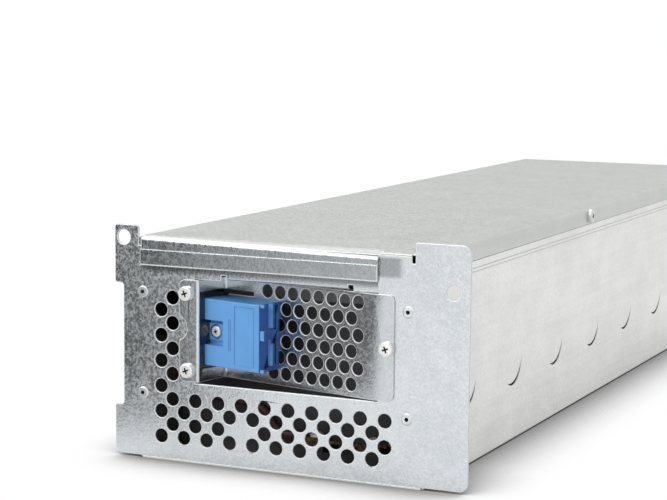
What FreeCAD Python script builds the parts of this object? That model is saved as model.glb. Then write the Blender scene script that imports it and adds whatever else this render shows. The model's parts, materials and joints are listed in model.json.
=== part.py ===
"""Battery cartridge of an uninterruptible power supply, in millimetres.

A folded steel case holds a row of sealed blocks. Its front plate has vents, two
fixing ears and a window with a slanted, perforated pan that carries the plug.
X runs along the plate's width, Y from the plate to the rear, and Z is up.
"""
import FreeCAD, Part
import math
import os

import Sketcher
from FreeCAD import Placement, Rotation, Vector

doc = FreeCAD.newDocument("battery_cartridge")
sheet = doc.addObject("Spreadsheet::Sheet", "Sizes")

SIZES = [
    # The case
    ("case_width", 168.6, "outside width of the tray and cover"),
    ("case_shift", -4.4, "middle of the plate to the middle of the case"),
    ("rear_room", 8.0, "last block to the rear panel"),
    ("case_height", 121.4, "floor to the top of the cover"),
    ("tray_sheet", 1.2, "sheet of the tray, rear panel and connector pan"),
    ("cover_sheet", 1.0, "sheet of the cover"),
    ("plate_sheet", 1.5, "sheet of the front plate"),
    ("bend", 1.6, "inner radius of a fold"),
    ("sheet_fit", 0.1, "gap between sheets that slide past each other"),
    # The tray's upper edge and its lanced discs
    ("cover_flange", 10.9, "drop of the cover's side flanges"),
    ("band_height", 5.8, "joggled band that shows under a flange"),
    ("joggle_rise", 1.6, "height over which the joggle steps in"),
    ("disc_place", 25.4, "front of a block to the disc beside it"),
    ("disc_level", 47.1, "height of the discs' centres"),
    ("disc_radius", 14.8, "radius of a disc"),
    ("lance_width", 1.9, "widest part of the open lance"),
    ("lance_shift", 5.97, "shift of the lance's inner arc"),
    ("lance_angle", 62.0, "direction of the lance below the horizontal"),
    ("tab_left", 9.8, "left front tabs of the tray, behind the plate"),
    ("tab_right", 18.0, "right front tabs of the tray, behind the plate"),
    ("tab_height", 22.0, "height of a front tab"),
    # The cover's lip and screws
    ("rear_foot", 6.0, "depth of the rear panel's flanges"),
    ("rear_flange", 14.0, "drop of the cover's rear flange"),
    ("lip_left", 2.7, "side of the case to the left end of the hemmed lip"),
    ("lip_right", 27.3, "right end of the hemmed lip to the side of the case"),
    ("lip_drop", 15.8, "top of the cover to the lower edge of the lip"),
    ("hem_height", 8.9, "outer layer of the hem"),
    ("hem_gap", 0.25, "gap between the hem's layers"),
    ("cover_screw_front", 16.6, "start of a middle block to the first cover screw"),
    ("cover_screw_rear", 11.5, "start of the last block to the second cover screw"),
    ("cover_screw_rise", 5.4, "edge of the side flange to the cover screws"),
    # The front plate
    ("plate_width", 205.8, "width over the ears"),
    ("plate_height", 127.0, "top of the ears"),
    ("left_ear_inner", 0.7, "side of the case to the inner edge of the left ear"),
    ("right_ear_inner", 7.2, "inner edge of the right ear to the side of the case"),
    ("slot_width", 1.7, "relief slot beside an ear"),
    ("slot_depth", 3.6, "relief slots below the plate's low edge"),
    ("step_gap", 0.6, "plate's low edge to the cover above it"),
    ("plate_corner", 5.0, "outer corner radius"),
    ("small_corner", 1.6, "corner radius of notches"),
    ("edge_notch", 5.3, "depth of the notch in the left edge"),
    ("edge_notch_bottom", 28.6, "lower end of the edge notch"),
    ("edge_notch_top", 95.1, "upper end of the edge notch"),
    ("foot_flange", 12.0, "depth of the plate's lower flange"),
    ("ear_hole", 3.9, "radius of the fixing holes"),
    ("left_hole_x", 5.7, "left fixing hole from the plate's edge"),
    ("left_hole_drop", 6.9, "left fixing hole below the ears' top"),
    ("right_hole_x", 9.1, "right fixing hole from the plate's edge"),
    ("right_hole_drop", 24.3, "right fixing hole below the ears' top"),
    # The vents
    ("vent_pitch", 13.8, "vent to vent in a row"),
    ("vent_radius", 3.8, "radius of a vent"),
    ("vent_left", 14.5, "side of the case to the first vent of the lowest row"),
    ("vent_bottom", 13.2, "height of the lowest row"),
    # The window and its folded upper edge
    ("window_left", 35.1, "left side of the case to the window"),
    ("window_right", 27.3, "window to the right side of the case"),
    ("window_bottom", 43.7, "lower edge of the window"),
    ("window_top", 99.8, "upper edge of the window"),
    ("brow_left", 18.7, "left side of the window to the folded edge above it"),
    ("brow_right", 16.9, "folded edge above the window to its right side"),
    ("brow_rise", 0.8, "folded edge above the window's top"),
    ("brow_depth", 9.0, "depth of the folded edge"),
    ("brow_relief", 2.9, "width of the relief notches beside it"),
    # The connector pan
    ("pan_left", 2.7, "left side of the window to the fold of the left flange"),
    ("pan_right", 2.0, "fold of the right flange to the right side of the window"),
    ("pan_lift", 0.7, "lower edge of the window to the pan"),
    ("pan_drop", 0.2, "pan to the upper edge of the window"),
    ("pan_angle", 12.7, "slant of the perforated panel"),
    ("pan_left_flange", 11.5, "width of the left flange"),
    ("pan_right_flange", 11.4, "width of the right flange"),
    ("pan_corner", 3.3, "rounded corners of the flanges"),
    ("pan_notch_radius", 6.9, "round notch in the left flange"),
    ("pan_notch_depth", 4.6, "depth of the round notch"),
    ("pan_notch_rise", 28.9, "lower edge of the pan to the round notch"),
    ("upper_screw_out", 7.3, "left fold to the pan's upper screw"),
    ("upper_screw_rise", 47.8, "lower edge of the pan to its upper screw"),
    ("lower_screw_out", 6.6, "left fold to the pan's lower screw"),
    ("lower_screw_rise", 6.2, "lower edge of the pan to its lower screw"),
    ("right_screw_out", 7.5, "right fold to the pan's right screw"),
    ("right_screw_rise", 27.2, "lower edge of the pan to its right screw"),
    ("opening_below", 1.9, "opening of the pan below the plug"),
    ("opening_above", 3.3, "opening of the pan above the plug"),
    ("relief_height", 2.4, "relief slots beside the panel's tongue"),
    ("relief_length", 19.6, "relief slots along the panel"),
    ("hole_pitch", 8.6, "hole to hole in a row of the panel"),
    ("hole_rise", 8.65, "row to row of the panel"),
    ("hole_radius", 3.5, "radius of a hole of the panel"),
    ("hole_edge", 9.8, "right fold to the first hole"),
    ("hole_drop", 5.4, "upper edge of the pan to the top row"),
    # The plug
    ("plug_start", -6.0, "left end of the plug, from the pan's wall"),
    ("plug_length", 45.0, "body of the plug"),
    ("plug_height", 36.2, "height of the plug"),
    ("plug_thick", 17.0, "thickness of the plug"),
    ("plug_rise", 27.0, "lower edge of the pan to the plug's middle"),
    ("plug_corner", 3.5, "rounded corners of the plug's rear end"),
    ("plug_edge", 0.8, "rounded edges of the plug's face"),
    ("ledge_length", 5.4, "low ledge at the plug's rear end"),
    ("ledge_drop", 1.9, "face to the low ledge"),
    ("mark_depth", 0.25, "shallow panel and ridge on the face"),
    ("mark_start", 20.6, "wall of the pan to the shallow panel"),
    ("mark_end", 33.9, "wall of the pan to the far side of the shallow panel"),
    ("mark_height", 31.4, "height of the shallow panel"),
    ("ridge_start", 16.8, "wall of the pan to the ridge"),
    ("ridge_width", 1.1, "width of the ridge"),
    ("ridge_height", 17.0, "height of the ridge"),
    ("nut_radius", 3.8, "nut behind the panel, over its corners"),
    ("nut_height", 3.0, "nut behind the panel"),
    ("lip_height", 1.7, "upper and lower lips of the mating end"),
    ("lip_reach", 3.7, "lips and rib beyond the body"),
    ("lip_thick", 2.0, "thickness of the lips and rib"),
    ("tongue_reach", 3.9, "tongues beyond the body"),
    ("tongue_base", 7.3, "tongues above the plug's back"),
    ("tongue_thick", 2.0, "thickness of a tongue"),
    ("tongue_drop", 3.2, "foot of the lower tongue above the plug's lower side"),
    ("tongue_gap", 0.9, "rib to the upper tongue"),
    ("tongue_step", 2.0, "step in the lower tongue's upper edge"),
    ("tongue_notch", 2.05, "length of the stepped part"),
    ("rib_height", 5.2, "middle rib of the mating end"),
    ("rib_rise", 1.6, "rib above the plug's middle"),
    ("chamber_width", 11.0, "contact chamber"),
    ("chamber_depth", 5.0, "contact chamber"),
    ("chamber_floor", 2.0, "wall under a contact chamber"),
    ("contact_spread", 18.8, "contact to contact"),
    ("contact_width", 10.0, "width of a contact"),
    ("contact_thick", 1.6, "thickness of a contact"),
    ("barrel_radius", 3.0, "crimp barrel of a contact"),
    ("barrel_length", 7.0, "crimp barrel of a contact"),
    ("bore_length", 17.0, "bore for a lead"),
    ("bore_radius", 3.2, "bore for a lead"),
    ("bore_level", 6.2, "bores above the plug's back"),
    ("recess_end", 12.5, "wall of the pan to the end of the screw's recess"),
    ("recess_height", 13.5, "recess of the plug's screw"),
    ("recess_depth", 5.0, "recess of the plug's screw"),
    ("boss_size", 9.4, "square boss round the screw's head"),
    ("boss_rise", 1.0, "square boss round the screw's head"),
    ("sink_radius", 4.1, "round seat in the boss"),
    ("sink_depth", 2.3, "round seat in the boss"),
    ("plug_head", 3.1, "head of the plug's screw"),
    ("plug_screw_place", 4.5, "wall of the pan to the plug's screw"),
    ("over_cut", 1.0, "run of a cut past the face it starts from"),
    # Fasteners
    ("screw_radius", 1.8, "shank of every screw"),
    ("screw_hole", 1.9, "hole for a screw"),
    ("head_radius", 3.75, "pan head of a small screw"),
    ("head_height", 2.3, "pan head of a small screw"),
    ("head_crown", 0.55, "flat top of a head, as part of its radius"),
    ("head_edge", 0.45, "upright edge of a head, as part of its height"),
    ("screw_reach", 3.5, "screw beyond the sheets it joins"),
    ("nut_reach", 1.5, "screw beyond its nut"),
    ("cover_head_radius", 4.3, "head of a cover screw"),
    ("rivet_left", 3.3, "side of the case to the left rivets"),
    ("rivet_right", 10.6, "right rivets to the side of the case"),
    ("rivet_low", 36.0, "lower rivets"),
    ("rivet_high", 91.2, "upper rivets"),
    ("rivet_radius", 1.5, "shank of a rivet"),
    ("rivet_bore", 1.1, "bore of a rivet"),
    ("rivet_head", 3.2, "head of a rivet"),
    ("rivet_crown", 2.5, "flat top of a rivet's head"),
    ("rivet_rise", 0.7, "head of a rivet"),
    ("rivet_hole", 1.6, "hole for a rivet"),
    ("rivet_bulb", 1.9, "bulb of a rivet behind the sheets"),
    ("rivet_length", 2.4, "bulb of a rivet behind the sheets"),
    # The blocks
    ("block_count", 8, "blocks in the case"),
    ("block_width", 151.0, "block across the case"),
    ("block_depth", 65.0, "block along the case"),
    ("block_height", 94.0, "block"),
    ("block_lid", 8.0, "lid of a block"),
    ("lid_inset", 0.7, "lid of a block, inside its case"),
    ("block_corner", 2.5, "upright edges of a block"),
    ("blocks_start", 30.5, "front face of the plate to the first block"),
    ("spacer", 9.0, "spacer between blocks"),
    ("spacer_inset", 12.0, "spacer's edges inside a block's"),
    ("liner", 0.8, "sheets under and over the blocks"),
    ("terminal_inset", 8.5, "terminal to the side of its block"),
    ("terminal_edge", 10.5, "terminal to the near edge of its block"),
    ("terminal_width", 6.3, "blade terminal"),
    ("terminal_height", 8.0, "blade terminal"),
    ("blade", 0.8, "thickness of terminals and links"),
    ("link_rise", 2.4, "top of a block to a link"),
    ("link_height", 4.8, "link"),
    ("foam_width", 16.0, "foam strip over the blocks"),
    ("foam_place", 34.0, "foam strips from the middle"),
    ("side_foam_height", 60.0, "foam at the blocks' sides"),
    ("foam_squeeze", 0.1, "gap at a foam strip"),
    # The fuse and the leads
    ("fuse_left", 91.2, "side of the case to the fuse holder"),
    ("fuse_length", 46.0, "fuse holder"),
    ("fuse_front", 14.0, "front face of the plate to the fuse holder"),
    ("fuse_depth", 14.0, "fuse holder"),
    ("fuse_height", 13.0, "fuse holder"),
    ("fuse_edge", 6.5, "fuse bolt to the holder's end"),
    ("fuse_inset", 1.0, "fuse blade inside the holder's end"),
    ("fuse_floor", 2.0, "holder under its bolts"),
    ("fuse_bolt", 10.4, "shank of a fuse bolt"),
    ("fuse_thick", 1.5, "fuse blade"),
    ("fuse_neck", 4.0, "neck of the fuse blade"),
    ("fuse_width", 9.0, "width of the fuse blade"),
    ("lug_thick", 1.5, "lug of a lead"),
    ("lug_length", 9.0, "lug of a lead"),
    ("lug_lift", 0.5, "top of a block to the lug above it"),
    ("lead_radius", 2.75, "power lead"),
    ("lead_clear", 0.3, "lead's end to its lug"),
    ("lead_side", 13.7, "side of the case to the leads' left runs"),
    ("lead_edge", 4.9, "rear lead's upright run to the side of the case"),
    ("lead_low", 26.2, "drop of the front lead beside the plug"),
    ("lead_bow", 11.0, "rise of the leads over the front edge of a block"),
    ("lead_over", 3.2, "leads above the blocks they lie on"),
    ("lead_lane", 5.0, "middle of the case to the black lead"),
    ("lead_join", 10.0, "black lead's lane to the second block"),
    ("lead_leave", 6.0, "start of the last block but one to the end of the lane"),
    ("lead_tail", 24.0, "straight end of the rear lead"),
    ("lead_stub", 18.0, "straight end of the black lead"),
    ("lead_dip", 24.0, "start of the front lead's dip to its lug"),
    ("lead_foot", 14.0, "foot of the front lead's dip to its lug"),
    ("lead_fall", 4.0, "fall of the front lead's cross run"),
]


class Size:
    """A length or an angle: its present value and the formula that gives it."""

    def __init__(self, value, formula):
        self.value = value
        self.formula = formula

    def __add__(self, other):
        return combine(self, "+", other)

    def __radd__(self, other):
        return combine(other, "+", self)

    def __sub__(self, other):
        return combine(self, "-", other)

    def __rsub__(self, other):
        return combine(other, "-", self)

    def __mul__(self, other):
        return combine(self, "*", other)

    def __rmul__(self, other):
        return combine(other, "*", self)

    def __truediv__(self, other):
        return combine(self, "/", other)

    def __neg__(self):
        return Size(-self.value, f"(-1 * {self.formula})")


WORK = {
    "+": lambda a, b: a + b,
    "-": lambda a, b: a - b,
    "*": lambda a, b: a * b,
    "/": lambda a, b: a / b,
}


def as_size(value):
    if isinstance(value, Size):
        return value
    return Size(float(value), f"({float(value)})")


def combine(first, sign, second):
    first, second = as_size(first), as_size(second)
    formula = f"({first.formula} {sign} {second.formula})"
    return Size(WORK[sign](first.value, second.value), formula)


def sine(angle):
    return Size(math.sin(math.radians(angle.value)), f"sin({angle.formula})")


def cosine(angle):
    return Size(math.cos(math.radians(angle.value)), f"cos({angle.formula})")


def tangent(angle):
    return Size(math.tan(math.radians(angle.value)), f"tan({angle.formula})")


for row, (alias, number, meaning) in enumerate(SIZES, start=1):
    sheet.set(f"A{row}", meaning)
    sheet.set(f"B{row}", str(number))
    sheet.setAlias(f"B{row}", alias)
doc.recompute()


class Sheet:
    """Every alias of the sheet as a Size."""

    def __getattr__(self, alias):
        return Size(float(getattr(sheet, alias)), f"Sizes.{alias}")


D = Sheet()
ZERO = as_size(0)


def bind(item, name, size):
    item.setExpression(name, as_size(size).formula)


# Places that several pieces share --------------------------------------------------------

count = int(D.block_count.value)
block_pitch = D.block_depth + D.spacer
blocks_length = block_pitch * count - D.spacer
case_length = (D.blocks_start + blocks_length + D.rear_room
               + D.tray_sheet + D.sheet_fit + D.cover_sheet)
left = D.case_shift - D.case_width / 2
right = D.case_shift + D.case_width / 2
window_left = left + D.window_left
window_right = right - D.window_right
pan_left = window_left + D.pan_left
pan_right = window_right - D.pan_right
pan_low = D.window_bottom + D.pan_lift
pan_high = D.window_top - D.pan_drop

sin_pan, cos_pan = sine(D.pan_angle), cosine(D.pan_angle)
panel_length = (pan_right - pan_left) * cos_pan
wall_length = panel_length * tangent(D.pan_angle)
plug_level = pan_low + D.plug_rise
plug_end = D.plug_start + D.plug_length

# The corners of the plug's lips stand this far ahead of the plate.
plug_proud = ((plug_end + D.lip_reach) * sin_pan + (D.plug_thick - D.plug_edge) * cos_pan
              + D.tray_sheet - panel_length * sin_pan)
front = (plug_proud - case_length) / 2
back = front + case_length
behind_plate = front + D.plate_sheet
top = D.case_height
under_cover = top - D.cover_sheet
wall_top = under_cover - D.bend
flange_edge = top - D.cover_flange
band_edge = flange_edge - D.band_height
joggle = D.cover_sheet + D.sheet_fit
tray_end = back - D.cover_sheet - D.sheet_fit
floor_top = D.tray_sheet
block_floor = floor_top + D.liner
block_top = block_floor + D.block_height
middle = D.case_shift
inner_left = left + D.tray_sheet
inner_right = right - D.tray_sheet

pan_x = pan_right - panel_length * cos_pan
pan_y = front - D.tray_sheet + panel_length * sin_pan


def block_start(number):
    return front + D.blocks_start + block_pitch * (number - 1)


def from_pan(along, depth, height):
    """A point of the pan's own slanted frame, in the part's frame."""
    return (pan_x + along * cos_pan + depth * sin_pan,
            pan_y - along * sin_pan + depth * cos_pan,
            as_size(height))


def place(item, spot, turn=None):
    """Bind an object's place; turn is a rotation that stays as it is."""
    if turn is not None:
        item.Placement = Placement(Vector(), turn)
    for axis, size in zip("xyz", spot):
        bind(item, f"Placement.Base.{axis}", size)


def slant(item, spot):
    """Place an object in the pan's frame, turned by the pan's angle."""
    item.Placement = Placement(Vector(), Rotation(Vector(0, 0, -1), D.pan_angle.value))
    bind(item, "Placement.Rotation.Angle", D.pan_angle)
    place(item, from_pan(*spot))


# Sketches and features ------------------------------------------------------------------

PLANES = {"XY": ("XY_Plane", 1), "XZ": ("XZ_Plane", -1), "YZ": ("YZ_Plane", 1)}


def new_body(label):
    body = doc.addObject("PartDesign::Body", label)
    body.Label = label
    return body


def origin_item(body, role):
    return next(item for item in body.Origin.OriginFeatures if item.Role == role)


def new_sketch(body, plane, level=ZERO):
    """A sketch on one of the body's own planes, moved along the plane's axis."""
    role, sign = PLANES[plane]
    sketch = body.newObject("Sketcher::SketchObject", f"{body.Label}_outline")
    sketch.AttachmentSupport = [(origin_item(body, role), "")]
    sketch.MapMode = "FlatFace"
    bind(sketch, "AttachmentOffset.Base.z", level * sign)
    return sketch


def pin_point(sketch, geometry, point, spot):
    for kind, size in zip(("DistanceX", "DistanceY"), spot):
        size = as_size(size)
        rule = sketch.addConstraint(Sketcher.Constraint(kind, geometry, point, size.value))
        sketch.setExpression(f"Constraints[{rule}]", size.formula)


def flat(spot):
    return Vector(as_size(spot[0]).value, as_size(spot[1]).value, 0)


def draw_polygon(sketch, spots, rounds=None):
    """A closed outline; rounds gives the radius of any square corner that is rounded."""
    rounds = rounds or {}
    count = len(spots)
    entries, exits = [], []
    for number, spot in enumerate(spots):
        if number not in rounds:
            entries.append(spot)
            exits.append(spot)
            continue
        radius = rounds[number]
        arriving = (flat(spot) - flat(spots[number - 1])).normalize()
        leaving = (flat(spots[(number + 1) % count]) - flat(spot)).normalize()
        entries.append((spot[0] - radius * arriving.x, spot[1] - radius * arriving.y))
        exits.append((spot[0] + radius * leaving.x, spot[1] + radius * leaving.y))
    first = sketch.GeometryCount
    for number in range(count):
        end = entries[(number + 1) % count]
        sketch.addGeometry(Part.LineSegment(flat(exits[number]), flat(end)))
    for number in range(count):
        pin_point(sketch, first + number, 1, exits[number])
        before = first + (number - 1) % count
        if number not in rounds:
            sketch.addConstraint(Sketcher.Constraint("Coincident", before, 2, first + number, 1))
            continue
        pin_point(sketch, before, 2, entries[number])
        ends = [(before, 2, flat(entries[number])), (first + number, 1, flat(exits[number]))]
        draw_corner_arc(sketch, flat(spots[number]), ends, rounds[number])


def draw_corner_arc(sketch, corner, ends, radius):
    """The arc of a rounded corner; a sketch keeps its arcs turning to the left."""
    (_, _, entry), (_, _, leave) = ends
    if (corner - entry).cross(leave - corner).z < 0:
        ends = ends[::-1]
    centre = entry + leave - corner
    crest = centre + (corner - centre).normalize() * radius.value
    arc = sketch.addGeometry(Part.Arc(ends[0][2], crest, ends[1][2]))
    for point, (line, line_point, _) in enumerate(ends, start=1):
        sketch.addConstraint(Sketcher.Constraint("Coincident", arc, point, line, line_point))
    rule = sketch.addConstraint(Sketcher.Constraint("Radius", arc, radius.value))
    sketch.setExpression(f"Constraints[{rule}]", radius.formula)


def draw_box(sketch, low, high):
    draw_polygon(sketch, [low, (high[0], low[1]), high, (low[0], high[1])])


def draw_circle(sketch, spot, radius):
    circle = Part.Circle(flat(spot), Vector(0, 0, 1), as_size(radius).value)
    geometry = sketch.addGeometry(circle)
    pin_point(sketch, geometry, 3, spot)
    rule = sketch.addConstraint(Sketcher.Constraint("Radius", geometry, as_size(radius).value))
    sketch.setExpression(f"Constraints[{rule}]", as_size(radius).formula)


def pad(body, sketch, plane, length):
    """Add the sketch's prism towards the plane's positive axis."""
    feature = body.newObject("PartDesign::Pad", f"{body.Label}_pad")
    feature.Profile = sketch
    feature.Reversed = PLANES[plane][1] < 0
    bind(feature, "Length", length)
    doc.recompute()
    return feature


def pocket(body, sketch, plane, length=None, both=False):
    """Cut the sketch's prism towards the plane's positive axis, or right through."""
    before = body.Shape.Volume
    feature = body.newObject("PartDesign::Pocket", f"{body.Label}_pocket")
    feature.Profile = sketch
    feature.Reversed = PLANES[plane][1] > 0
    if length is None:
        feature.Type = "ThroughAll"
        feature.SideType = "Symmetric" if both else "One side"
    else:
        bind(feature, "Length", length)
    doc.recompute()
    if not body.Shape.Volume < before:
        raise RuntimeError(f"{body.Label}: a pocket cut nothing")
    return feature


AXES = {"x": Vector(1, 0, 0), "y": Vector(0, 1, 0), "z": Vector(0, 0, 1)}


def on_axis(axis, spot):
    """A point of a line along an axis, from its other two coordinates."""
    values = [as_size(value).value for value in spot]
    values.insert("xyz".index(axis), 0)
    return Vector(*values)


def round_lines(body, direction, points, radius):
    """Round every straight edge that runs in a direction through one of the points."""
    base = body.Tip
    names = []
    for number, edge in enumerate(base.Shape.Edges, start=1):
        if not isinstance(edge.Curve, Part.Line):
            continue
        if abs(edge.tangentAt(edge.FirstParameter).dot(direction)) < 0.9999:
            continue
        centre = edge.CenterOfMass
        if any((point - centre).cross(direction).Length < 0.02 for point in points):
            names.append(f"Edge{number}")
    if len(names) < len(points):
        raise RuntimeError(f"{body.Label}: an edge to round is missing")
    feature = body.newObject("PartDesign::Fillet", f"{body.Label}_round")
    feature.Base = (base, names)
    bind(feature, "Radius", radius)
    doc.recompute()
    return feature


def round_edges(body, axis, spots, radius):
    return round_lines(body, AXES[axis], [on_axis(axis, spot) for spot in spots], radius)


def box(label, low, size):
    item = doc.addObject("Part::Box", label)
    item.Label = label
    for name, value in zip(("Length", "Width", "Height"), size):
        bind(item, name, value)
    place(item, low)
    return item


def turned(label, profile, spot, turn=None):
    """A turned piece: its half profile (radius, height) spun about its own Y axis."""
    sketch = doc.addObject("Sketcher::SketchObject", f"{label}_profile")
    draw_polygon(sketch, profile)
    item = doc.addObject("Part::Revolution", label)
    item.Label = label
    item.Source = sketch
    item.Axis = Vector(0, 1, 0)
    item.Base = Vector(0, 0, 0)
    item.Angle = 360
    item.Solid = True
    place(item, spot, turn)
    return item


def joined(label, items):
    item = doc.addObject("Part::MultiFuse", label)
    item.Label = label
    item.Shapes = items
    return item


def group(label, items):
    """Identical pieces that share a node, each its own solid."""
    item = doc.addObject("Part::Compound", label)
    item.Label = label
    item.Links = items
    return item


# The folded case ------------------------------------------------------------------------

rivet_spots = [(x, z) for x in (left + D.rivet_left, right - D.rivet_right)
               for z in (D.rivet_low, D.rivet_high)]
cover_screw_rows = [block_start(count // 2) + D.cover_screw_front,
                    block_start(count) + D.cover_screw_rear]
cover_screw_level = flange_edge + D.cover_screw_rise


def make_base_tray():
    body = new_body("base_tray")
    wall, edge = D.tray_sheet, band_edge + D.joggle_rise
    half = [(right, ZERO), (right, band_edge), (right - joggle, edge),
            (right - joggle, wall_top), (right - joggle - wall, wall_top),
            (right - joggle - wall, edge), (right - wall, band_edge), (right - wall, wall)]
    mirrored = [(left + right - x, z) for x, z in reversed(half)]
    sketch = new_sketch(body, "XZ", behind_plate)
    draw_polygon(sketch, half + mirrored)
    pad(body, sketch, "XZ", tray_end - behind_plate)
    round_edges(body, "y", [(left, 0), (right, 0)], D.bend + wall)
    round_edges(body, "y", [(inner_left, wall), (inner_right, wall)], D.bend)

    relief = D.bend + wall
    sketch = new_sketch(body, "XY")
    draw_box(sketch, (left + relief, front), (right - relief, behind_plate))
    pad(body, sketch, "XY", wall)

    for low_x, high_x in ((left, left + D.tab_left), (right - D.tab_right, right)):
        for level in (D.rivet_low, D.rivet_high):
            sketch = new_sketch(body, "XY", level - D.tab_height / 2)
            draw_box(sketch, (low_x, behind_plate), (high_x, behind_plate + wall))
            pad(body, sketch, "XY", D.tab_height)

    sketch = new_sketch(body, "XZ", front)
    for spot in rivet_spots:
        draw_circle(sketch, spot, D.rivet_hole)
    pocket(body, sketch, "XZ", D.plate_sheet + wall + D.sheet_fit)

    sketch = new_sketch(body, "YZ", middle)
    for row in cover_screw_rows:
        draw_circle(sketch, (row, cover_screw_level), D.screw_hole)
    pocket(body, sketch, "YZ", both=True)

    lance = pocket(body, draw_lance(body), "YZ", both=True)
    row = body.newObject("PartDesign::LinearPattern", "disc_row")
    row.Originals = [lance]
    row.Direction = (origin_item(body, "Y_Axis"), [""])
    bind(row, "Length", block_pitch * (D.block_count - 1))
    bind(row, "Occurrences", D.block_count)
    body.Tip = row
    doc.recompute()
    return body


def draw_lance(body):
    """The open lance of a disc: a crescent between the disc and a shifted inner arc."""
    sketch = new_sketch(body, "YZ", middle)
    centre = (block_start(1) + D.disc_place, D.disc_level)
    shift = (D.lance_shift * cosine(D.lance_angle), D.lance_shift * sine(D.lance_angle))
    inner = (centre[0] - shift[0], centre[1] + shift[1])
    inner_radius = D.disc_radius - D.lance_width + D.lance_shift
    disc, step, cut = D.disc_radius.value, D.lance_shift.value, inner_radius.value
    half = math.acos((cut ** 2 - step ** 2 - disc ** 2) / (2 * disc * step))
    heading = -math.radians(D.lance_angle.value)
    tips = [flat(centre) + disc * Vector(math.cos(heading + turn), math.sin(heading + turn), 0)
            for turn in (-half, 0, half)]
    belly = flat(inner) + cut * Vector(math.cos(heading), math.sin(heading), 0)
    sketch.addGeometry(Part.Arc(tips[0], tips[1], tips[2]))
    sketch.addGeometry(Part.Arc(tips[0], belly, tips[2]))
    sketch.addConstraint(Sketcher.Constraint("Coincident", 0, 1, 1, 1))
    sketch.addConstraint(Sketcher.Constraint("Coincident", 0, 2, 1, 2))
    for geometry, (spot, radius) in enumerate(((centre, D.disc_radius), (inner, inner_radius))):
        pin_point(sketch, geometry, 3, spot)
        rule = sketch.addConstraint(Sketcher.Constraint("Radius", geometry, radius.value))
        sketch.setExpression(f"Constraints[{rule}]", radius.formula)
    return sketch


def make_rear_panel():
    body = new_body("rear_panel")
    wall, edge = D.tray_sheet, band_edge + D.joggle_rise
    flange_length = D.rear_foot
    half = [(inner_right, floor_top), (inner_right, band_edge),
            (inner_right - joggle, edge), (inner_right - joggle, wall_top)]
    mirrored = [(left + right - x, z) for x, z in reversed(half)]
    sketch = new_sketch(body, "XZ", tray_end - wall)
    draw_polygon(sketch, half + mirrored)
    pad(body, sketch, "XZ", wall)
    round_edges(body, "y", [(inner_left, floor_top), (inner_right, floor_top)], D.bend)
    start = tray_end - wall - flange_length
    corner = D.bend + wall
    for low_x in (inner_left, inner_right - wall):
        sketch = new_sketch(body, "XY", floor_top + flange_length)
        draw_box(sketch, (low_x, start), (low_x + wall, tray_end - wall))
        pad(body, sketch, "XY", band_edge - floor_top - 2 * flange_length)
    sketch = new_sketch(body, "XY", floor_top)
    draw_box(sketch, (inner_left + corner, start), (inner_right - corner, tray_end - wall))
    pad(body, sketch, "XY", wall)
    return body


def make_top_cover():
    body = new_body("top_cover")
    skin = D.cover_sheet
    start = behind_plate + D.sheet_fit
    sketch = new_sketch(body, "XZ", start)
    draw_polygon(sketch, [
        (left, flange_edge), (left + skin, flange_edge), (left + skin, under_cover),
        (right - skin, under_cover), (right - skin, flange_edge), (right, flange_edge),
        (right, top), (left, top)])
    pad(body, sketch, "XZ", back - start)
    corner = D.bend + skin
    sketch = new_sketch(body, "XZ", back - skin)
    inset = corner + skin
    draw_box(sketch, (left + inset, top - D.rear_flange), (right - inset, under_cover))
    pad(body, sketch, "XZ", skin)
    round_edges(body, "y", [(left, top), (right, top)], corner)
    round_edges(body, "y", [(left + skin, under_cover), (right - skin, under_cover)], D.bend)

    # Beside the lip the sheet reaches over the plate with a plain cut edge.
    gap = D.slot_width + D.sheet_fit
    sketch = new_sketch(body, "XY", under_cover)
    lip_left, lip_right = left + D.lip_left, right - D.lip_right
    draw_box(sketch, (lip_right, front), (right - D.right_ear_inner - gap, start))
    pad(body, sketch, "XY", skin)

    # The lip turns down over the plate, and its edge is hemmed outwards.
    neck_back = front - D.sheet_fit
    neck_front = neck_back - skin
    fold_back = neck_front - D.hem_gap
    fold_front = fold_back - skin
    hem_bottom = top - D.lip_drop
    hem_top = hem_bottom + D.hem_height
    sketch = new_sketch(body, "YZ", lip_left)
    draw_polygon(sketch, [
        (start, under_cover), (neck_back, under_cover), (neck_back, hem_bottom),
        (fold_front, hem_bottom), (fold_front, hem_top), (fold_back, hem_top),
        (fold_back, hem_bottom + skin), (neck_front, hem_bottom + skin),
        (neck_front, top), (start, top)],
        rounds={1: D.bend / 2, 2: skin, 3: skin, 8: D.bend + skin})
    pad(body, sketch, "YZ", lip_right - lip_left)

    sketch = new_sketch(body, "YZ", middle)
    for row in cover_screw_rows:
        draw_circle(sketch, (row, cover_screw_level), D.screw_hole)
    pocket(body, sketch, "YZ", both=True)
    return body


# The front plate ------------------------------------------------------------------------

pan_screw_spots = [(pan_left - D.upper_screw_out, pan_low + D.upper_screw_rise),
                   (pan_left - D.lower_screw_out, pan_low + D.lower_screw_rise),
                   (pan_right + D.right_screw_out, pan_low + D.right_screw_rise)]

# The vents stand in four staggered rows, with one left out, and a column up the left side.
VENT_ROW = 10
FULL_ROWS = 4
VENT_ROWS = 12
LEFT_OUT = (7, 1)


def vent_places():
    """Column and row numbers of the vents, in half pitches."""
    full = [(2 * number + row % 2, row) for row in range(FULL_ROWS) for number in range(VENT_ROW)]
    column = [(row % 2, row) for row in range(FULL_ROWS, VENT_ROWS)]
    return [place for place in full + column if place != LEFT_OUT]


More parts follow.
